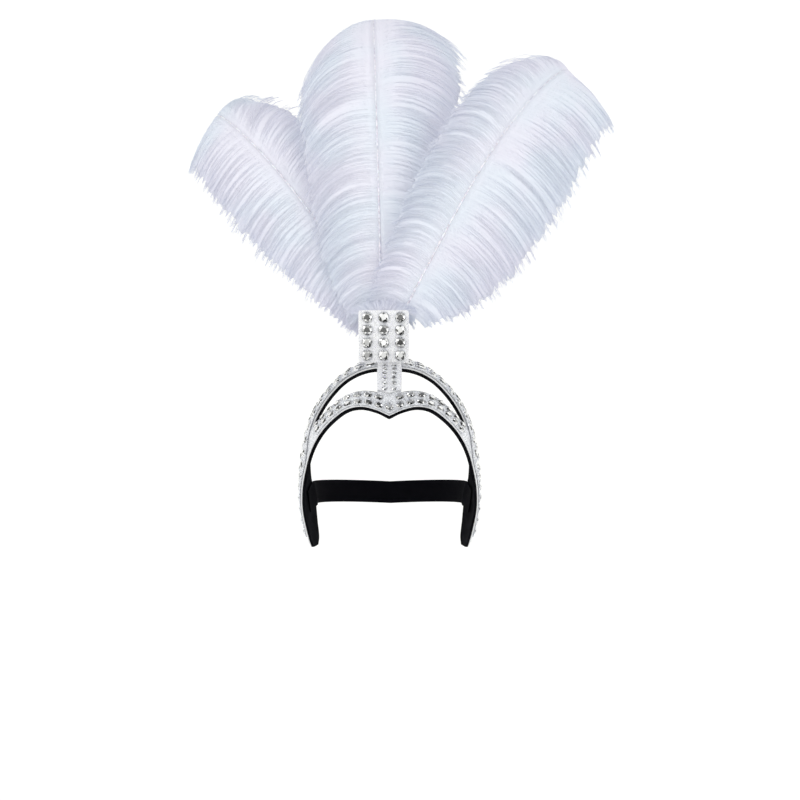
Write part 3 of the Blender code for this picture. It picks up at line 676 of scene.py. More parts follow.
def makeGem():
    mesh = bmesh.new()
    few, many = gem["sides"], gem["sides"] * 2

    def ring(count, size, height, shift=0.0):
        turns = [2 * math.pi * (k + shift) / count for k in range(count)]
        return [mesh.verts.new((size * math.cos(t), size * math.sin(t), height)) for t in turns]

    foot = ring(many, gem["foot"], 0.0)
    girdle = ring(many, 1.0, gem["girdle"])
    shoulder = ring(few, gem["shoulder"], gem["shoulderRise"], 0.5)
    table = ring(few, gem["table"], gem["rise"])
    mesh.faces.new(foot[::-1])
    mesh.faces.new(table)
    for k in range(many):
        mesh.faces.new((foot[k], foot[(k + 1) % many], girdle[(k + 1) % many], girdle[k]))
    for k in range(few):
        mesh.faces.new((table[k], shoulder[k - 1], girdle[2 * k], shoulder[k]))
        mesh.faces.new((table[k], shoulder[k], table[(k + 1) % few]))
        mesh.faces.new((shoulder[k], girdle[2 * k], girdle[2 * k + 1]))
        mesh.faces.new((shoulder[k], girdle[2 * k + 1], girdle[(2 * k + 2) % many]))
    stone = keepMesh("gemShape", mesh)
    draw = np.random.default_rng(gem["seed"])
    faces = stone.data.polygons
    # painted light and shade: a facet's tone rises the more it faces one fixed side, up and to the left on the plate
    lit = [0.5 + 0.5 * face.normal.dot(Vector(gem["paintedLightFrom"]).normalized()) for face in faces]
    for key, values in (("facet", draw.uniform(0, 1, len(faces))), ("lit", np.array(lit))):
        channel = stone.data.attributes.new(key, "FLOAT", "FACE")
        channel.data.foreach_set("value", values.astype(np.float32))
    return stone


# the metal cup round a stone of radius 1, with four small claws standing from it
cup = {"sides": 16, "claws": 4, "claw": 0.12, "profile": [(1.12, 0.0), (1.12, 0.13), (1.03, 0.21), (0.93, 0.0)]}


def makeCup():
    mesh = bmesh.new()
    rings = []
    for k in range(cup["sides"]):
        turn = 2 * math.pi * k / cup["sides"]
        lift = cup["claw"] if k % (cup["sides"] // cup["claws"]) == 0 else 0.0
        rings.append([
            mesh.verts.new((size * math.cos(turn), size * math.sin(turn), height + (lift if height else 0.0)))
            for size, height in cup["profile"]
        ])
    count = len(cup["profile"])
    for here, after in zip(rings, rings[1:] + rings[:1]):
        for j in range(count):
            mesh.faces.new((here[j], after[j], after[(j + 1) % count], here[(j + 1) % count]))
    return keepMesh("cupShape", mesh)


# sets one shape on every point, turned to its own aim with its long axis along the row of stones
def makeSettingTree():
    recipe, given = startTree("setStones", {"shape": "Object", "finish": "Material", "seed": "Int"})
    values = {"Object": given.other("shape")}
    shape = recipe.add("GeometryNodeObjectInfo", {"transform_space": "ORIGINAL"}, values, "Geometry")
    aim = attribute(recipe, "aim", "FLOAT_VECTOR")
    upright = recipe.add("FunctionNodeAlignRotationToVector", {"axis": "Z"}, {"Vector": aim})
    along = attribute(recipe, "along", "FLOAT_VECTOR")
    values = {"Rotation": upright, "Vector": along}
    turned = recipe.add("FunctionNodeAlignRotationToVector", {"axis": "X", "pivot_axis": "Z"}, values)
    size = attribute(recipe, "size", "FLOAT_VECTOR")
    values = {"Points": given, "Instance": shape, "Rotation": turned, "Scale": size}
    stones = recipe.add("GeometryNodeInstanceOnPoints", {}, values)
    stones = store(recipe, stones, "own", chance(recipe, 0.0, 1.0, given.other("seed")), domain="INSTANCE")
    return endTree(recipe, stones, given.other("finish"))


gemShape = makeGem()
cupShape = makeCup()
settingTree = makeSettingTree()


# a spot is a place, the way a stone looks, the way its long axis lies, and its length, width and height
def pointCloud(name, spots):
    data = bpy.data.meshes.new(name)
    data.from_pydata([tuple(spot[0]) for spot in spots], [], [])
    for k, key in enumerate(("aim", "along", "size")):
        channel = data.attributes.new(key, "FLOAT_VECTOR", "POINT")
        channel.data.foreach_set("vector", np.array([spot[k + 1] for spot in spots], np.float32).ravel())
    return data


def setStones(name, spots, seed, *nodes):
    spotCloud = pointCloud(name + "Spots", spots)
    values = {"shape": gemShape, "finish": cutCrystal.material, "seed": seed}
    place(growPiece(name, settingTree, spotCloud, values), "crystal_stone", *nodes)
    values = {"shape": cupShape, "finish": settingSilver.material, "seed": seed}
    place(growPiece(name + "Cups", settingTree, spotCloud, values), "silver_glitter")


# stone nets on the board: cells at even distances, a stone in every cell
net = {
    "margin": 0.0022, "lift": 0.0005, "thick": 0.0010, "fill": 0.85, "stoneHigh": 0.0052, "edge": 0.0002,
    "bandColumns": 17, "bandRows": 2, "bandEnd": 5.0,
    "sideColumns": 17, "sideRows": 3, "sideEnd": 10.6, "sideStart": 0.1, "sideSpread": 1.3,
    "fineRows": 200, "splitRows": 4, "splitLanes": 3,
}


def margin(row):
    return net["margin"] / depthAt(row)


def bandEdges(row):
    return margin(row), windowEdges(row)[0] - margin(row)


def sideEdges(row):
    part = clamped((abs(row) - crown["windowEnd"] - net["sideStart"]) / net["sideSpread"])
    part = part * part * (3 - 2 * part)
    arch = windowEdges(min(abs(row), crown["windowEnd"]))[1] + margin(row)
    return arch + (margin(row) - arch) * part, 1 - margin(row)


def evenRows(start, end, count, shareOf):
    fine = np.linspace(start, end, net["fineRows"])
    run = runAlong(np.array([rawPoint(row, shareOf(row)) for row in fine]))
    return np.interp(np.linspace(0, run[-1], count + 1), run, fine)


# plain cells have no stone, and gone cells have no net either
def makeNet(name, rows, edges, lanes, seed, node, plain=(), gone=()):
    lift = crown["board"] + net["lift"]
    high = lift + net["thick"]

    def spot(row, lane, height):
        front, rear = edges(row)
        return onFrame(row, front + (rear - front) * lane / lanes, height)

    spots = []
    for i in range(len(rows) - 1):
        for j in range(lanes):
            if (i, j) in plain or (i, j) in gone:
                continue
            corners = [spot(rows[a], b, high) for a, b in ((i, j), (i + 1, j), (i + 1, j + 1), (i, j + 1))]
            middle = sum(corners) / 4
            aim = unit(np.cross(corners[2] - corners[0], corners[3] - corners[1]))
            reach = []
            for k in range(4):
                side = corners[(k + 1) % 4] - corners[k]
                reach.append(abs((middle - corners[k]) @ np.cross(aim, side)) / np.linalg.norm(side))
            along = unit(corners[1] + corners[2] - corners[0] - corners[3])
            width, length = net["fill"] * min(reach[0], reach[2]), net["fill"] * min(reach[1], reach[3])
            spots.append((middle, aim, along, (length, width, net["stoneHigh"])))
    setStones(name + "Stones", spots, seed, node)
    split, cut = net["splitRows"], net["splitLanes"]
    fine = np.interp(np.arange((len(rows) - 1) * split + 1) / split, np.arange(len(rows)), rows)
    grids = [
        [[spot(row, lane / cut, height) for lane in range(lanes * cut + 1)] for row in fine]
        for height in (lift, high)
    ]

    def keep(i, j):
        return (i // split, j // cut) not in gone

    place(makeSlab(name + "Net", *grids, [silverGlitter], net["edge"], keep), "silver_glitter")


def makeNets():
    rows = evenRows(-net["bandEnd"], net["bandEnd"], net["bandColumns"], lambda row: windowEdges(row)[0] / 2)
    middle = {(net["bandColumns"] // 2, net["bandRows"] - 1)}
    makeNet("band", rows, bandEdges, net["bandRows"], 3, "front_band_stones", plain=middle)
    rows = evenRows(stemRow, net["sideEnd"], net["sideColumns"], lambda row: sum(sideEdges(row)) / 2)
    last = net["sideColumns"] - 1
    tail = {(last, 1), (last, 2), (last - 1, 2)}
    makeNet("rightSide", rows, sideEdges, net["sideRows"], 7, "stone_field_right", gone=tail)
    tail = {(last - i, j) for i, j in tail}
    makeNet("leftSide", -rows[::-1], sideEdges, net["sideRows"], 9, "stone_field_left", gone=tail)


makeNets()
print("stone nets made")


# the strip up the middle, standing up behind the plate, with two columns of small stones
def makeStem():
    inner = crown["board"] + crown["gap"]
    outer = inner + stem["board"]
    bottom = windowEdges(0)[0] + stem["aboveBand"]
    bend = onFrame(0, stem["top"], outer)
    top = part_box("stem_strip")[1].z
    edge = rowOfWidth(stem["width"] / 2 - stem["gap"], stem["top"])
    sides = [edge * (2 * k / stem["sides"] - 1) for k in range(stem["sides"] + 1)]
    last = bottom + (stem["top"] - bottom) * stem["liesTo"]
    shares = np.linspace(bottom, last, stem["steps"])

    def level(lift):
        behind = bend[1] + outer - lift
        lines = []
        for row in sides:
            line = [onFrame(row, share, lift) for share in shares]
            across = onFrame(row, stem["top"], lift)[0]
            line.append(np.array([across, behind, bend[2] + stem["bend"] * (outer - lift)]))
            line.append(np.array([across, behind, top]))
            lines.append(line)
        return lines

    strip = makeSlab("stemStrip", level(inner), level(outer), [plateGlitter, whiteEdge], 0.0003)
    place(strip, "silver_glitter", "stem_strip")
    side = stemRow * stem["pitch"] / stem["width"]
    spots, size = [], stem["stone"] / 2 / stem["cupShare"]
    for k in range(stem["rows"]):
        share = bottom + (stem["top"] - bottom) * (k + stem["start"]) / stem["rows"]
        for row in (-side, side):
            spot = onFrame(row, share, outer + crown["gap"])
            spots.append((spot, rawNormal(row, share), (1.0, 0.0, 0.0), (size,) * 3))
    nodes = [f"stem_stone_{k + 1:02d}" for k in range(2 * stem["rows"])]
    setStones("stemStones", spots, stem["seed"], *nodes)


# the upright plate: its own board with rounded corners, and twelve large stones
plate = {"edge": 0.0004, "stones": 12, "seed": 33}


def makePlate():
    softCopy("plateBoard", "front_plate", plate["edge"], plateGlitter)
    nodes = [f"plate_stone_{k + 1:02d}" for k in range(plate["stones"])]
    spots = []
    for node in nodes:
        low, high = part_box(node)
        middle, size = (low + high) / 2, (high.x - low.x) / 2
        spots.append(((middle.x, high.y, middle.z), (0.0, -1.0, 0.0), (1.0, 0.0, 0.0), (size,) * 3))
    setStones("plateStones", spots, plate["seed"], *nodes)


makeStem()
makePlate()
pocket = softCopy("plumePocket", "plume_pocket", 0.0003, blackFelt)
print("stem and plate made")

# the elastic: sewn inside both arms, then carried round the back
elastic = {"height": 0.024, "thick": 0.0012, "gap": 0.0009, "back": 0.096, "drop": 0.004, "row": 8.80,
           "tabs": [0.40, 0.50, 0.60, 0.70, 0.80, 0.90, 1.0], "sewnAt": 0.7, "steps": 40, "lanes": 4, "settle": 3.0,
           "edge": 0.0003}


def makeElasticLoop():
    inside = crown["gap"] + crown["felt"] + elastic["gap"]
    heights = [k / elastic["lanes"] - 0.5 for k in range(elastic["lanes"] + 1)]
    below, above = (rawPoint(elastic["row"] + half, elastic["sewnAt"]) for half in (0.5, -0.5))
    tall = elastic["height"] / np.linalg.norm(below - above)
    line = [[onFrame(elastic["row"] - high * tall, share, -inside) for high in heights] for share in elastic["tabs"]]
    start = line[-1]
    middle = start[elastic["lanes"] // 2]
    rise = unit(start[-1] - start[0])
    for k in range(1, elastic["steps"] + 1):
        turn = math.pi / 2 * k / elastic["steps"]
        x = middle[0] * math.cos(turn)
        y = middle[1] + (elastic["back"] - seat[1] - middle[1]) * math.sin(turn)
        z = middle[2] - elastic["drop"] * (1 - math.cos(turn))
        part = min(1.0, elastic["settle"] * k / elastic["steps"])
        up = unit(rise * (1 - part) + np.array([0, 0, 1.0]) * part)
        line.append([np.array([x, y, z]) + up * elastic["height"] * high for high in heights])
    flip = np.array([-1.0, 1.0, 1.0])
    outer = line + [[point * flip for point in column] for column in line[-2::-1]]
    inner = []
    for k, column in enumerate(outer):
        before, after = outer[max(k - 1, 0)], outer[min(k + 1, len(outer) - 1)]
        out = unit(np.cross(after[2] - before[2], column[-1] - column[0])) * elastic["thick"]
        inner.append([point - out for point in column])
    place(makeSlab("headElastic", inner, outer, [blackElastic], elastic["edge"]), "black_elastic", "head_strap")


makeElasticLoop()
print("elastic made")

# plumes: a quill that leans and curls, and barbs that leave it and hang under their own weight
plumeShare = {"barb": 0.100, "curlPower": 5, "layer": 0.0070, "pocketWall": 0.0015, "drop": 0.001}
barbColumns = ("along", "leftLength", "rightLength", "leftAngle", "rightAngle", "leftSag", "rightSag")
plumes = {
    "leftPlume": {
        "node": "plume_left", "length": 0.345, "foot": 0.41, "layer": 2, "lean": -33.9, "bend": -27.0,
        "bendPower": 2.4, "curl": 128.0, "tilt": 5.0, "leftBack": 0.30, "rightBack": 0.16, "seed": 11,
        "rows": [
            (0.00, 0.38, 0.42, 86, 70, 1.00, 1.40),
            (0.20, 0.60, 0.58, 86, 64, 1.04, 1.54),
            (0.50, 0.82, 0.74, 76, 58, 1.08, 1.58),
            (0.75, 0.76, 0.79, 64, 50, 1.18, 1.80),
            (0.92, 0.75, 0.78, 49, 46, 1.14, 1.80),
            (1.00, 0.52, 0.52, 24, 24, 1.50, 1.60),
        ],
    },
    "centrePlume": {
        "node": "plume_centre", "length": 0.384, "foot": 0.45, "layer": 1, "lean": -1.0, "bend": -1.5,
        "bendPower": 1.0, "curl": 137.0, "tilt": 0.0, "leftBack": 0.10, "rightBack": 0.22, "seed": 23,
        "rows": [
            (0.00, 0.42, 0.42, 84, 84, 1.40, 1.40),
            (0.20, 0.78, 0.76, 80, 80, 1.54, 1.60),
            (0.50, 1.02, 0.99, 78, 74, 1.68, 1.64),
            (0.75, 1.14, 1.25, 76, 54, 1.88, 1.54),
            (0.92, 0.95, 1.48, 66, 41, 1.96, 1.22),
            (1.00, 0.55, 0.86, 24, 24, 1.66, 1.60),
        ],
    },
    "rightPlume": {
        "node": "plume_right", "length": 0.358, "foot": 0.90, "layer": 0, "lean": 27.4, "bend": 34.0,
        "bendPower": 2.8, "curl": 112.0, "tilt": -5.0, "leftBack": 0.02, "rightBack": 0.30, "seed": 37,
        "rows": [
            (0.00, 0.49, 0.31, 72, 82, 1.60, 0.94),
            (0.20, 0.60, 0.85, 68, 84, 1.76, 1.10),
            (0.50, 0.69, 1.08, 64, 76, 1.92, 1.14),
            (0.75, 0.68, 0.97, 62, 55, 2.14, 1.13),
            (0.92, 0.56, 0.97, 50, 32, 2.14, 0.85),
            (1.00, 0.41, 0.64, 24, 22, 1.72, 1.30),
        ],
    },
}
guide = {"columns": 70, "steps": 16, "reach": 1.12, "frontBack": -0.05, "rearBack": 0.06,
         "frontSag": 0.90, "rearSag": 1.15, "frontAngle": 5.0, "rearAngle": -7.0}
barbs = {"count": 430, "points": 9, "thick": 0.00042, "tip": 0.3, "clumps": 150.0, "clumpPull": 0.5,
         "tufts": 62.0, "tuftPull": 0.95, "shortest": 0.88, "longest": 1.0, "drift": 0.0022}
# how the barbs stray from even locks: one in so many is a stray, longer and looser than the rest
unruly = {"stray": 0.07, "longer": 0.05, "gathersLess": 0.7, "drifts": 2.0, "clumpWaves": 37.0, "clumpShift": 0.4,
          "tuftWaves": 23.0, "tuftShift": 0.6, "layerShift": 0.35, "tuftShort": 0.93, "tuftLong": 1.03, "waves": 1.6, "kinds": 40.0}
down = {"count": 46, "length": 0.0046, "thick": 0.00022, "spread": 0.42, "wild": 0.24, "shortest": 0.6,
        "longest": 1.15, "atTips": 0.7}
quill = {"foot": 0.0013, "tip": 0.0004, "sides": 8, "points": 60, "above": 0.002}


def plumeAxes(plume, along):
    lean = math.radians(plume["lean"] + plume["bend"] * along ** plume["bendPower"])
    curl = math.radians(plume["tilt"] + plume["curl"] * along ** plumeShare["curlPower"])
    up = np.array([math.sin(lean), 0.0, math.cos(lean)])
    side = np.array([math.cos(lean), 0.0, -math.sin(lean)])
    return math.cos(curl) * up + math.sin(curl) * np.array([0.0, 1.0, 0.0]), side


def quillLine(plume, count, fine=6):
    low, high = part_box("front_plate")
    depth = high.y + crown["gap"] + plumeShare["pocketWall"] + (plume["layer"] + 0.5) * plumeShare["layer"]
    spot = np.array([low.x + plume["foot"] * (high.x - low.x), depth, high.z - plumeShare["drop"]])
    points = [spot]
    for k in range(count * fine):
        spot = spot + plumeAxes(plume, (k + 0.5) / (count * fine))[0] * plume["length"] / (count * fine)
        if (k + 1) % fine == 0:
            points.append(spot)
    return points


# one barb of the guide, with its hang made lighter or heavier for the front and rear layer
def barbLine(plume, start, along, side, back, sagShare, turnMore):
    hand = "left" if side < 0 else "right"
    keys = [row[0] for row in plume["rows"]]
    barb = dict(zip(barbColumns, throughRows(keys, np.array(plume["rows"], float), along)))
    shaft, right = plumeAxes(plume, along)
    back = plume[hand + "Back"] + back
    fall = np.array([0.0, back, -1.0]) / math.hypot(back, 1.0)
    angle = math.radians(barb[hand + "Angle"] + turnMore)
    leave = math.cos(angle) * shaft + math.sin(angle) * side * right
    level = unit(leave - fall * (leave @ fall))
    first = math.tan(math.acos(clamped(leave @ fall, -1.0)) / 2)
    sag = barb[hand + "Sag"] * sagShare
    step = barb[hand + "Length"] * plumeShare["barb"] * guide["reach"] / guide["steps"]
    points = [start]
    for k in range(guide["steps"]):
        turn = 2 * math.atan(first * math.exp(-sag * guide["reach"] * (k + 0.5) / guide["steps"]))
        points.append(points[-1] + step * (math.cos(turn) * fall + math.sin(turn) * level))
    return points


# two sheets of guide lines side by side in one map: the front layer at 0 to 1, the rear one at 2 to 3
def chartSheets(name, layers):
    verts, faces, spots = [], [], []
    for lines, shift in zip(layers, (0.0, 2.0)):
        base, width = len(verts), len(lines[0])
        for i, line in enumerate(lines):
            verts += [tuple(spot) for spot in line]
            spots += [(i / (len(lines) - 1) + shift, k / (width - 1)) for k in range(width)]
        for i in range(len(lines) - 1):
            for k in range(width - 1):
                a = base + i * width + k
                faces.append((a, a + width, a + width + 1, a + 1))
    data = bpy.data.meshes.new(name)
    data.from_pydata(verts, [], faces)
    chart = data.uv_layers.new(name="chart")
    corners = np.array([vertex for face in faces for vertex in face])
    chart.data.foreach_set("uv", np.array(spots, np.float32)[corners].ravel())
    return data


def guideSheets(name, plume, side):
    starts = quillLine(plume, guide["columns"])
    front = (guide["frontBack"], guide["frontSag"], guide["frontAngle"])
    rear = (guide["rearBack"], guide["rearSag"], guide["rearAngle"])
    return chartSheets(name, [
        [barbLine(plume, start, i / guide["columns"], side, *layer) for i, start in enumerate(starts)]
        for layer in (front, rear)
    ])


# the web: where the barbs lie so close that they close up, one thin sheet between both layers of them
web = {"columns": 140, "steps": 12, "thick": 0.0004, "shortest": 0.82, "longest": 0.92, "back": 0.05, "streaks": 380.0}


def makeWeb(name, plume, side):
    draw = np.random.default_rng(plume["seed"] * 3 + side)
    reach = draw.uniform(web["shortest"], web["longest"], web["columns"] + 1) / guide["reach"]
    grid, chart = [], []
    for i, start in enumerate(quillLine(plume, web["columns"], 3)):
        line = np.array(barbLine(plume, start, i / web["columns"], side, web["back"], 1.0, 0.0))
        at = np.linspace(0.0, reach[i], web["steps"] + 1)
        places = np.linspace(0.0, 1.0, len(line))
        grid.append(np.stack([np.interp(at, places, line[:, k]) for k in range(3)], axis=1))
        chart.append([(i / web["columns"], value) for value in at])
    grid = np.array(grid)
    normal = np.cross(np.gradient(grid, axis=0), np.gradient(grid, axis=1))
    normal = normal / np.maximum(np.linalg.norm(normal, axis=2, keepdims=True), 1e-9) * web["thick"] / 2
    place(makeSlab(name, grid - normal, grid + normal, [webFeather], chart=chart), "white_plume", plume["node"])


# the pale tone drifts between rosy and cool; shade is the colour of painted shade, the thin dark lines between the
# barbs, and the colour the barbs darken towards at their ends; glow is a painted glow that lifts the shadows in the
# feathers
feather = {"rosy": colour(0.755, 0.72, 0.81), "cool": colour(0.67, 0.745, 0.81), "pale": colour(0.72, 0.735, 0.81),
           "shade": colour(0.42, 0.45, 0.58), "drift": 14.0, "streak": 35.0, "patches": 30.0,
           # painted light: a faint glow in the feathers, though they are no lamp
           "glow": {"Emission Color": colour(0.90, 0.93, 1.0), "Emission Strength": 0.11}}


def makeFeather():
    finish = Finish("whiteFeather", {"Specular IOR Level": 0.25, "Sheen Weight": 0.15, "Sheen Roughness": 0.4,
                                     **feather["glow"]})
    out = finish.channel("out")
    dark = finish.channel("own").fract().ramp(0.72, 0.95)
    streak = finish.noise(finish.place, feather["streak"], 4.0)
    # darker towards the barb ends, and some strands darker at random, blending towards shade
    mixed = streak.ramp(0.3, 0.7) * 0.08 + out * out * 0.28 + dark * (0.05 + out * 0.40)
    finish.feed("Base Color", finish.blend(mixed, tinted(finish), feather["shade"]))
    finish.feed("Roughness", streak * 0.3 + 0.55)
    return finish


def tinted(finish):
    drift = finish.noise(finish.place, feather["drift"], 2.0).ramp(0.35, 0.65)
    ends = [finish.blend(0.5, feather["pale"], feather[key]) for key in ("rosy", "cool")]
    return finish.blend(drift, *ends)


# streaks of the web run along the barbs, painted shade in thin dark lines between them: its map gives the place along
# the quill and out along the barb
def makeWebFeather():
    finish = Finish("webFeather", {"Specular IOR Level": 0.2, "Sheen Weight": 0.1, **feather["glow"]})
    ribbon = finish.add("ShaderNodeUVMap", {"uv_map": "ribbon"}, {}, "UV")
    along = finish.add("ShaderNodeSeparateXYZ", {}, {"Vector": ribbon}, "X")
    out = along.other("Y")
    fine = finish.noise(finish.point(X=along * web["streaks"], Y=out * 2.5), 1.0, 3.0, 0.6)
    patches = finish.noise(finish.place, feather["patches"], 2.0).ramp(0.3, 0.6, 0.25, 1.0)
    # painted shade: thin dark lines between the barbs, in patches, stronger out along the barb; the web also darkens
    # towards the barb ends
    lines = fine.ramp(0.52, 0.68) * patches * out.ramp(0.15, 0.75, 0.12, 1.0)
    finish.feed("Base Color", finish.blend(lines * 0.7 + out * out * 0.2, tinted(finish), feather["shade"]))
    finish.feed("Roughness", fine * 0.2 + 0.6)
    finish.bump(fine, 0.3, 0.0005)
    return finish


def makeQuillFinish():
    finish = Finish("creamQuill", {"Specular IOR Level": 0.5, "Subsurface Weight": 0.1, "Subsurface Scale": 0.002})
    streak = finish.noise(finish.place, 260.0, 4.0)
    finish.feed("Base Color", finish.blend(streak.ramp(0.3, 0.7), colour(0.93, 0.93, 1.0), colour(0.62, 0.61, 0.70)))
    finish.feed("Roughness", streak * 0.2 + 0.35)
    return finish


whiteFeather = makeFeather()
webFeather = makeWebFeather()
creamQuill = makeQuillFinish()


# looks up a place in the guide: along the quill and out along the barb, between the front and rear layer
def lookUp(recipe, sheet, along, out, depth):
    chart = attribute(recipe, "chart", "FLOAT_VECTOR")
    here = recipe.add("GeometryNodeInputPosition")
    found = []
    for shift in (0.0, 2.0):
        values = {"Mesh": sheet, "Value": here, 2: chart, "Sample UV": recipe.point(X=along + shift, Y=out)}
        found.append(recipe.add("GeometryNodeSampleUVSurface", {"data_type": "FLOAT_VECTOR"}, values))
    values = {"Factor": depth, "A": found[0], "B": found[1]}
    return recipe.add("ShaderNodeMix", {"data_type": "VECTOR"}, values, "Result")


def clampWire(recipe, value, rim):
    return recipe.add("ShaderNodeClamp", {}, {"Value": value, "Min": rim, "Max": 1 - rim})


# sweeps a small ring along lines, with its radius from the wire scale
def sweep(recipe, curves, sides, scale):
    ring = recipe.add("GeometryNodeCurvePrimitiveCircle", {"mode": "RADIUS"}, {"Resolution": sides, "Radius": 1.0})
    values = {0: curves, 1: ring, "Scale": scale, "Fill Caps": True}
    tubes = recipe.add("GeometryNodeCurveToMesh", {}, values)
    return recipe.add("GeometryNodeSetShadeSmooth", {}, {0: tubes, "Shade Smooth": True})


# barbs as thin three-sided strands, gathered into locks towards their tips, with down on both sides of each
def makeBarbTree():
    names = ("thick", "tip", "clumps", "clumpPull", "tufts", "tuftPull", "shortest", "longest", "drift", "reach",
             "downLength", "downThick", "downSpread", "downWild")
    recipe, sheet = startTree("growBarbs", {
        "count": "Int", "points": "Int", "seed": "Int", "downCount": "Int", **{name: "Float" for name in names},
        "finish": "Material",
    })
    ask = {name: sheet.other(name) for name in (*names, "count", "points", "seed", "downCount", "finish")}
    seed = ask["seed"]
    roots = recipe.add("GeometryNodePoints", {}, {"Count": ask["count"]})
    order = recipe.add("GeometryNodeInputIndex")
    roots = store(recipe, roots, "along", (order + chance(recipe, 0.1, 0.9, seed)) / ask["count"])
    roots = store(recipe, roots, "depth", chance(recipe, 0.0, 1.0, seed + 1))
    length = chance(recipe, ask["shortest"], ask["longest"], seed + 2)
    stray = chance(recipe, 0.0, 1.0, seed + 3).above(1 - unruly["stray"])
    roots = store(recipe, roots, "length", length + stray * unruly["longer"])
    roots = store(recipe, roots, "stray", stray)
    roots = store(recipe, roots, "own", chance(recipe, 0.0, unruly["kinds"], seed + 4))
    line = recipe.add("GeometryNodeMeshLine", {"mode": "OFFSET"}, {"Count": ask["points"], "Offset": (0.001, 0, 0)})
    line = store(recipe, line, "out", recipe.add("GeometryNodeInputIndex") / (ask["points"] - 1))
    strands = realized(recipe, recipe.add("GeometryNodeInstanceOnPoints", {}, {"Points": roots, "Instance": line}))

    along, out, depth, length, stray, own = (
        attribute(recipe, key) for key in ("along", "out", "depth", "length", "stray", "own"))
    loose = 1.0 - stray * unruly["gathersLess"]
    place = along * ask["clumps"] + (along * unruly["clumpWaves"]).sine() * unruly["clumpShift"]
    fine = (place + depth * unruly["clumpShift"]).fract() - 0.5
    gathered = along - fine * out * loose * ask["clumpPull"] / ask["clumps"]
    place = along * ask["tufts"] + (along * unruly["tuftWaves"]).sine() * unruly["tuftShift"]
    place = place + depth * unruly["layerShift"]
    gathered = gathered - (place.fract() - 0.5) * (out ** 6.0) * loose * ask["tuftPull"] / ask["tufts"]
    tuft = recipe.add("ShaderNodeMath", {"operation": "FLOOR"}, {0: place})
    tuft = recipe.add("FunctionNodeFloatToInt", {"rounding_mode": "FLOOR"}, {"Float": tuft})
    length = length * chance(recipe, unruly["tuftShort"], unruly["tuftLong"], seed + 8, tuft)
    reachOut = clampWire(recipe, out * length / ask["reach"], 0.001)
    spot = lookUp(recipe, sheet, clampWire(recipe, gathered, 0.002), reachOut, depth)
    wave = recipe.point(X=own, Y=out * unruly["waves"], Z=own * 0.37)
    drift = recipe.add("ShaderNodeTexNoise", {}, {"Vector": wave, "Scale": 1.0, "Detail": 1.0}, "Color")
    drift = recipe.vector("SUBTRACT", drift, (0.5, 0.5, 0.5))
    spot = spot + drift * (out * ask["drift"] * 2.0 * (1.0 + stray * unruly["drifts"]))
    strands = recipe.add("GeometryNodeSetPosition", {}, {"Geometry": strands, "Position": spot})
    curves = recipe.add("GeometryNodeMeshToCurve", {}, {0: strands})
    tubes = sweep(recipe, curves, 3, (1.0 - out * (1.0 - ask["tip"])) * ask["thick"])

    # down: single hair-thin spikes that leave the barb on both sides and lie along it
    values = {0: curves, "Count": ask["downCount"]}
    dots = recipe.add("GeometryNodeCurveToPoints", {"mode": "COUNT"}, values, "Points")
    dots = store(recipe, dots, "heading", dots.other("Tangent"), "FLOAT_VECTOR")
    order = recipe.add("GeometryNodeInputIndex")
    values = {"Min": (-1.0, -1.0, -1.0), "Max": (1.0, 1.0, 1.0), "Seed": seed + 5}
    wild = recipe.add("FunctionNodeRandomValue", {"data_type": "FLOAT_VECTOR"}, values, "Value")
    heading = attribute(recipe, "heading", "FLOAT_VECTOR")
    beside = recipe.vector("NORMALIZE", recipe.vector("CROSS_PRODUCT", heading, (0.0, -1.0, 0.12)))
    hand = recipe.add("ShaderNodeMath", {"operation": "MODULO"}, {0: order, 1: 2.0}) * 2.0 - 1.0
    aim = heading + beside * (hand * ask["downSpread"]) + wild * ask["downWild"]
    turned = recipe.add("FunctionNodeAlignRotationToVector", {"axis": "Z"}, {"Vector": aim})
    values = {"Vertices": 3, "Side Segments": 1, "Fill Segments": 1, "Radius Top": 0.0, "Radius Bottom": 1.0, "Depth": 1.0}
    spike = recipe.add("GeometryNodeMeshCone", {"fill_type": "NGON"}, values, "Mesh")
    belly = (attribute(recipe, "out") ** 4.0) * (down["atTips"] - 1.0) + 1.0
    long = ask["downLength"] * belly * chance(recipe, down["shortest"], down["longest"], seed + 6)
    values = {"Points": dots, "Instance": spike, "Rotation": turned,
              "Scale": recipe.point(X=ask["downThick"], Y=ask["downThick"], Z=long)}
    spikes = realized(recipe, recipe.add("GeometryNodeInstanceOnPoints", {}, values))
    both = recipe.add("GeometryNodeJoinGeometry", {}, {0: [tubes, spikes]})
    return endTree(recipe, both, ask["finish"])


# a round shaft along a line of points, thinner towards its end
def makeQuillTree():
    recipe, line = startTree("growQuill", {"foot": "Float", "tip": "Float", "sides": "Int", "finish": "Material"})
    curve = recipe.add("GeometryNodeMeshToCurve", {}, {0: line})
    share = recipe.add("GeometryNodeSplineParameter", {}, {}, "Factor")
    radius = line.other("foot") + (line.other("tip") - line.other("foot")) * share
    return endTree(recipe, sweep(recipe, curve, line.other("sides"), radius), line.other("finish"))


barbTree = makeBarbTree()
quillTree = makeQuillTree()
barbValues = {
    **barbs, **{"down" + key.capitalize(): value for key, value in down.items()},
    "reach": guide["reach"], "finish": whiteFeather.material,
}

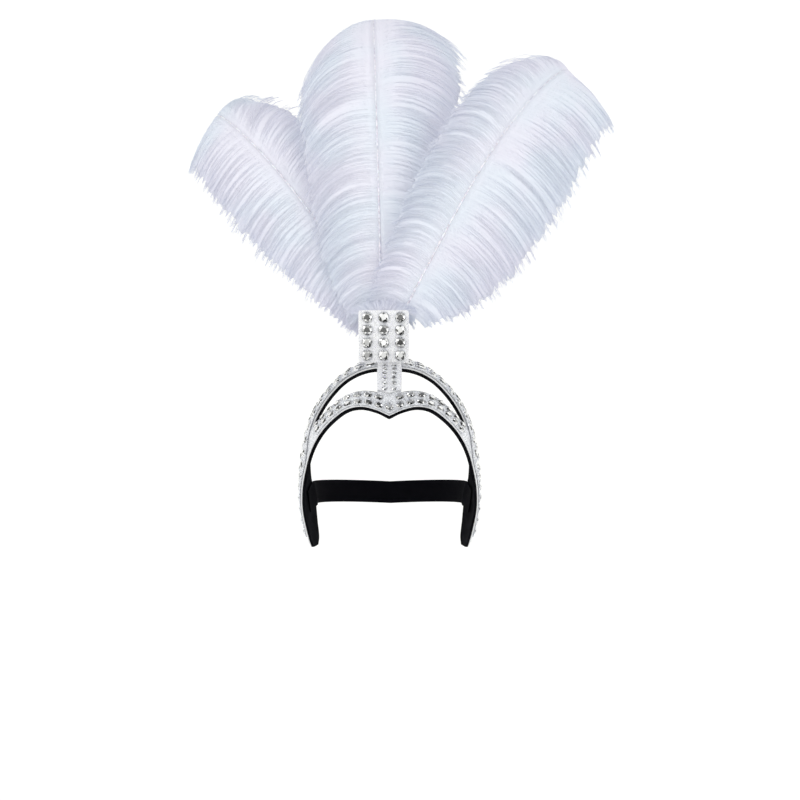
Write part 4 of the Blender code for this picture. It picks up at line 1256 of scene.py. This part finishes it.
# the fluff at the foot of the plumes: a low fan of downy barbs behind the plate, in front of the quills
fluff = {"count": 120, "columns": 24, "steps": 8, "fan": 75.0, "droop": 42.0, "long": 0.017, "sunk": 0.004,
         "inset": 0.004, "behind": 0.0012, "leans": (-0.30, 0.05), "shortest": 0.6, "longest": 0.95, "seed": 71}


def makeFluff():
    low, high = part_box("front_plate")
    middle, half = (low.x + high.x) / 2, (high.x - low.x) / 2 - fluff["inset"]
    layers = []
    for lean in fluff["leans"]:
        lines = []
        for i in range(fluff["columns"] + 1):
            across = 2 * i / fluff["columns"] - 1
            line = [np.array([middle + across * half, high.y + fluff["behind"], high.z - fluff["sunk"]])]
            for k in range(fluff["steps"]):
                turn = math.radians(across * (fluff["fan"] + fluff["droop"] * k / fluff["steps"]))
                way = unit(np.array([math.sin(turn), lean, math.cos(turn)]))
                line.append(line[-1] + way * fluff["long"] / fluff["steps"])
            lines.append(line)
        layers.append(lines)
    values = {**barbValues, **{key: fluff[key] for key in ("count", "seed", "shortest", "longest")}, "reach": 1.0}
    place(growPiece("footFluff", barbTree, chartSheets("fluffGuide", layers), values), "white_plume")


def makePlume(name, plume):
    for side, hand in ((-1, "Left"), (1, "Right")):
        sheet = guideSheets(name + hand + "Guide", plume, side)
        vane = growPiece(name + hand + "Vane", barbTree, sheet, {**barbValues, "seed": plume["seed"] + side})
        place(vane, "white_plume", plume["node"])
        makeWeb(name + hand + "Web", plume, side)
        print(vane.name, len(vane.data.polygons), "faces")
    points = quillLine(plume, quill["points"])
    shaft = plumeAxes(plume, 0.0)[0]
    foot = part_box("plume_pocket")[0].z + plumeShare["pocketWall"] + quill["above"]
    points.insert(0, points[0] - shaft * (points[0][2] - foot) / shaft[2])
    data = bpy.data.meshes.new(name + "Line")
    data.from_pydata([tuple(spot) for spot in points], [(k, k + 1) for k in range(len(points) - 1)], [])
    values = {key: quill[key] for key in ("foot", "tip", "sides")}
    place(growPiece(name + "Quill", quillTree, data, {**values, "finish": creamQuill.material}), "white_plume")


for plumeName, plumeShape in plumes.items():
    makePlume(plumeName, plumeShape)
makeFluff()
for shape in (gemShape, cupShape):
    bpy.data.objects.remove(shape)
print("plumes made")
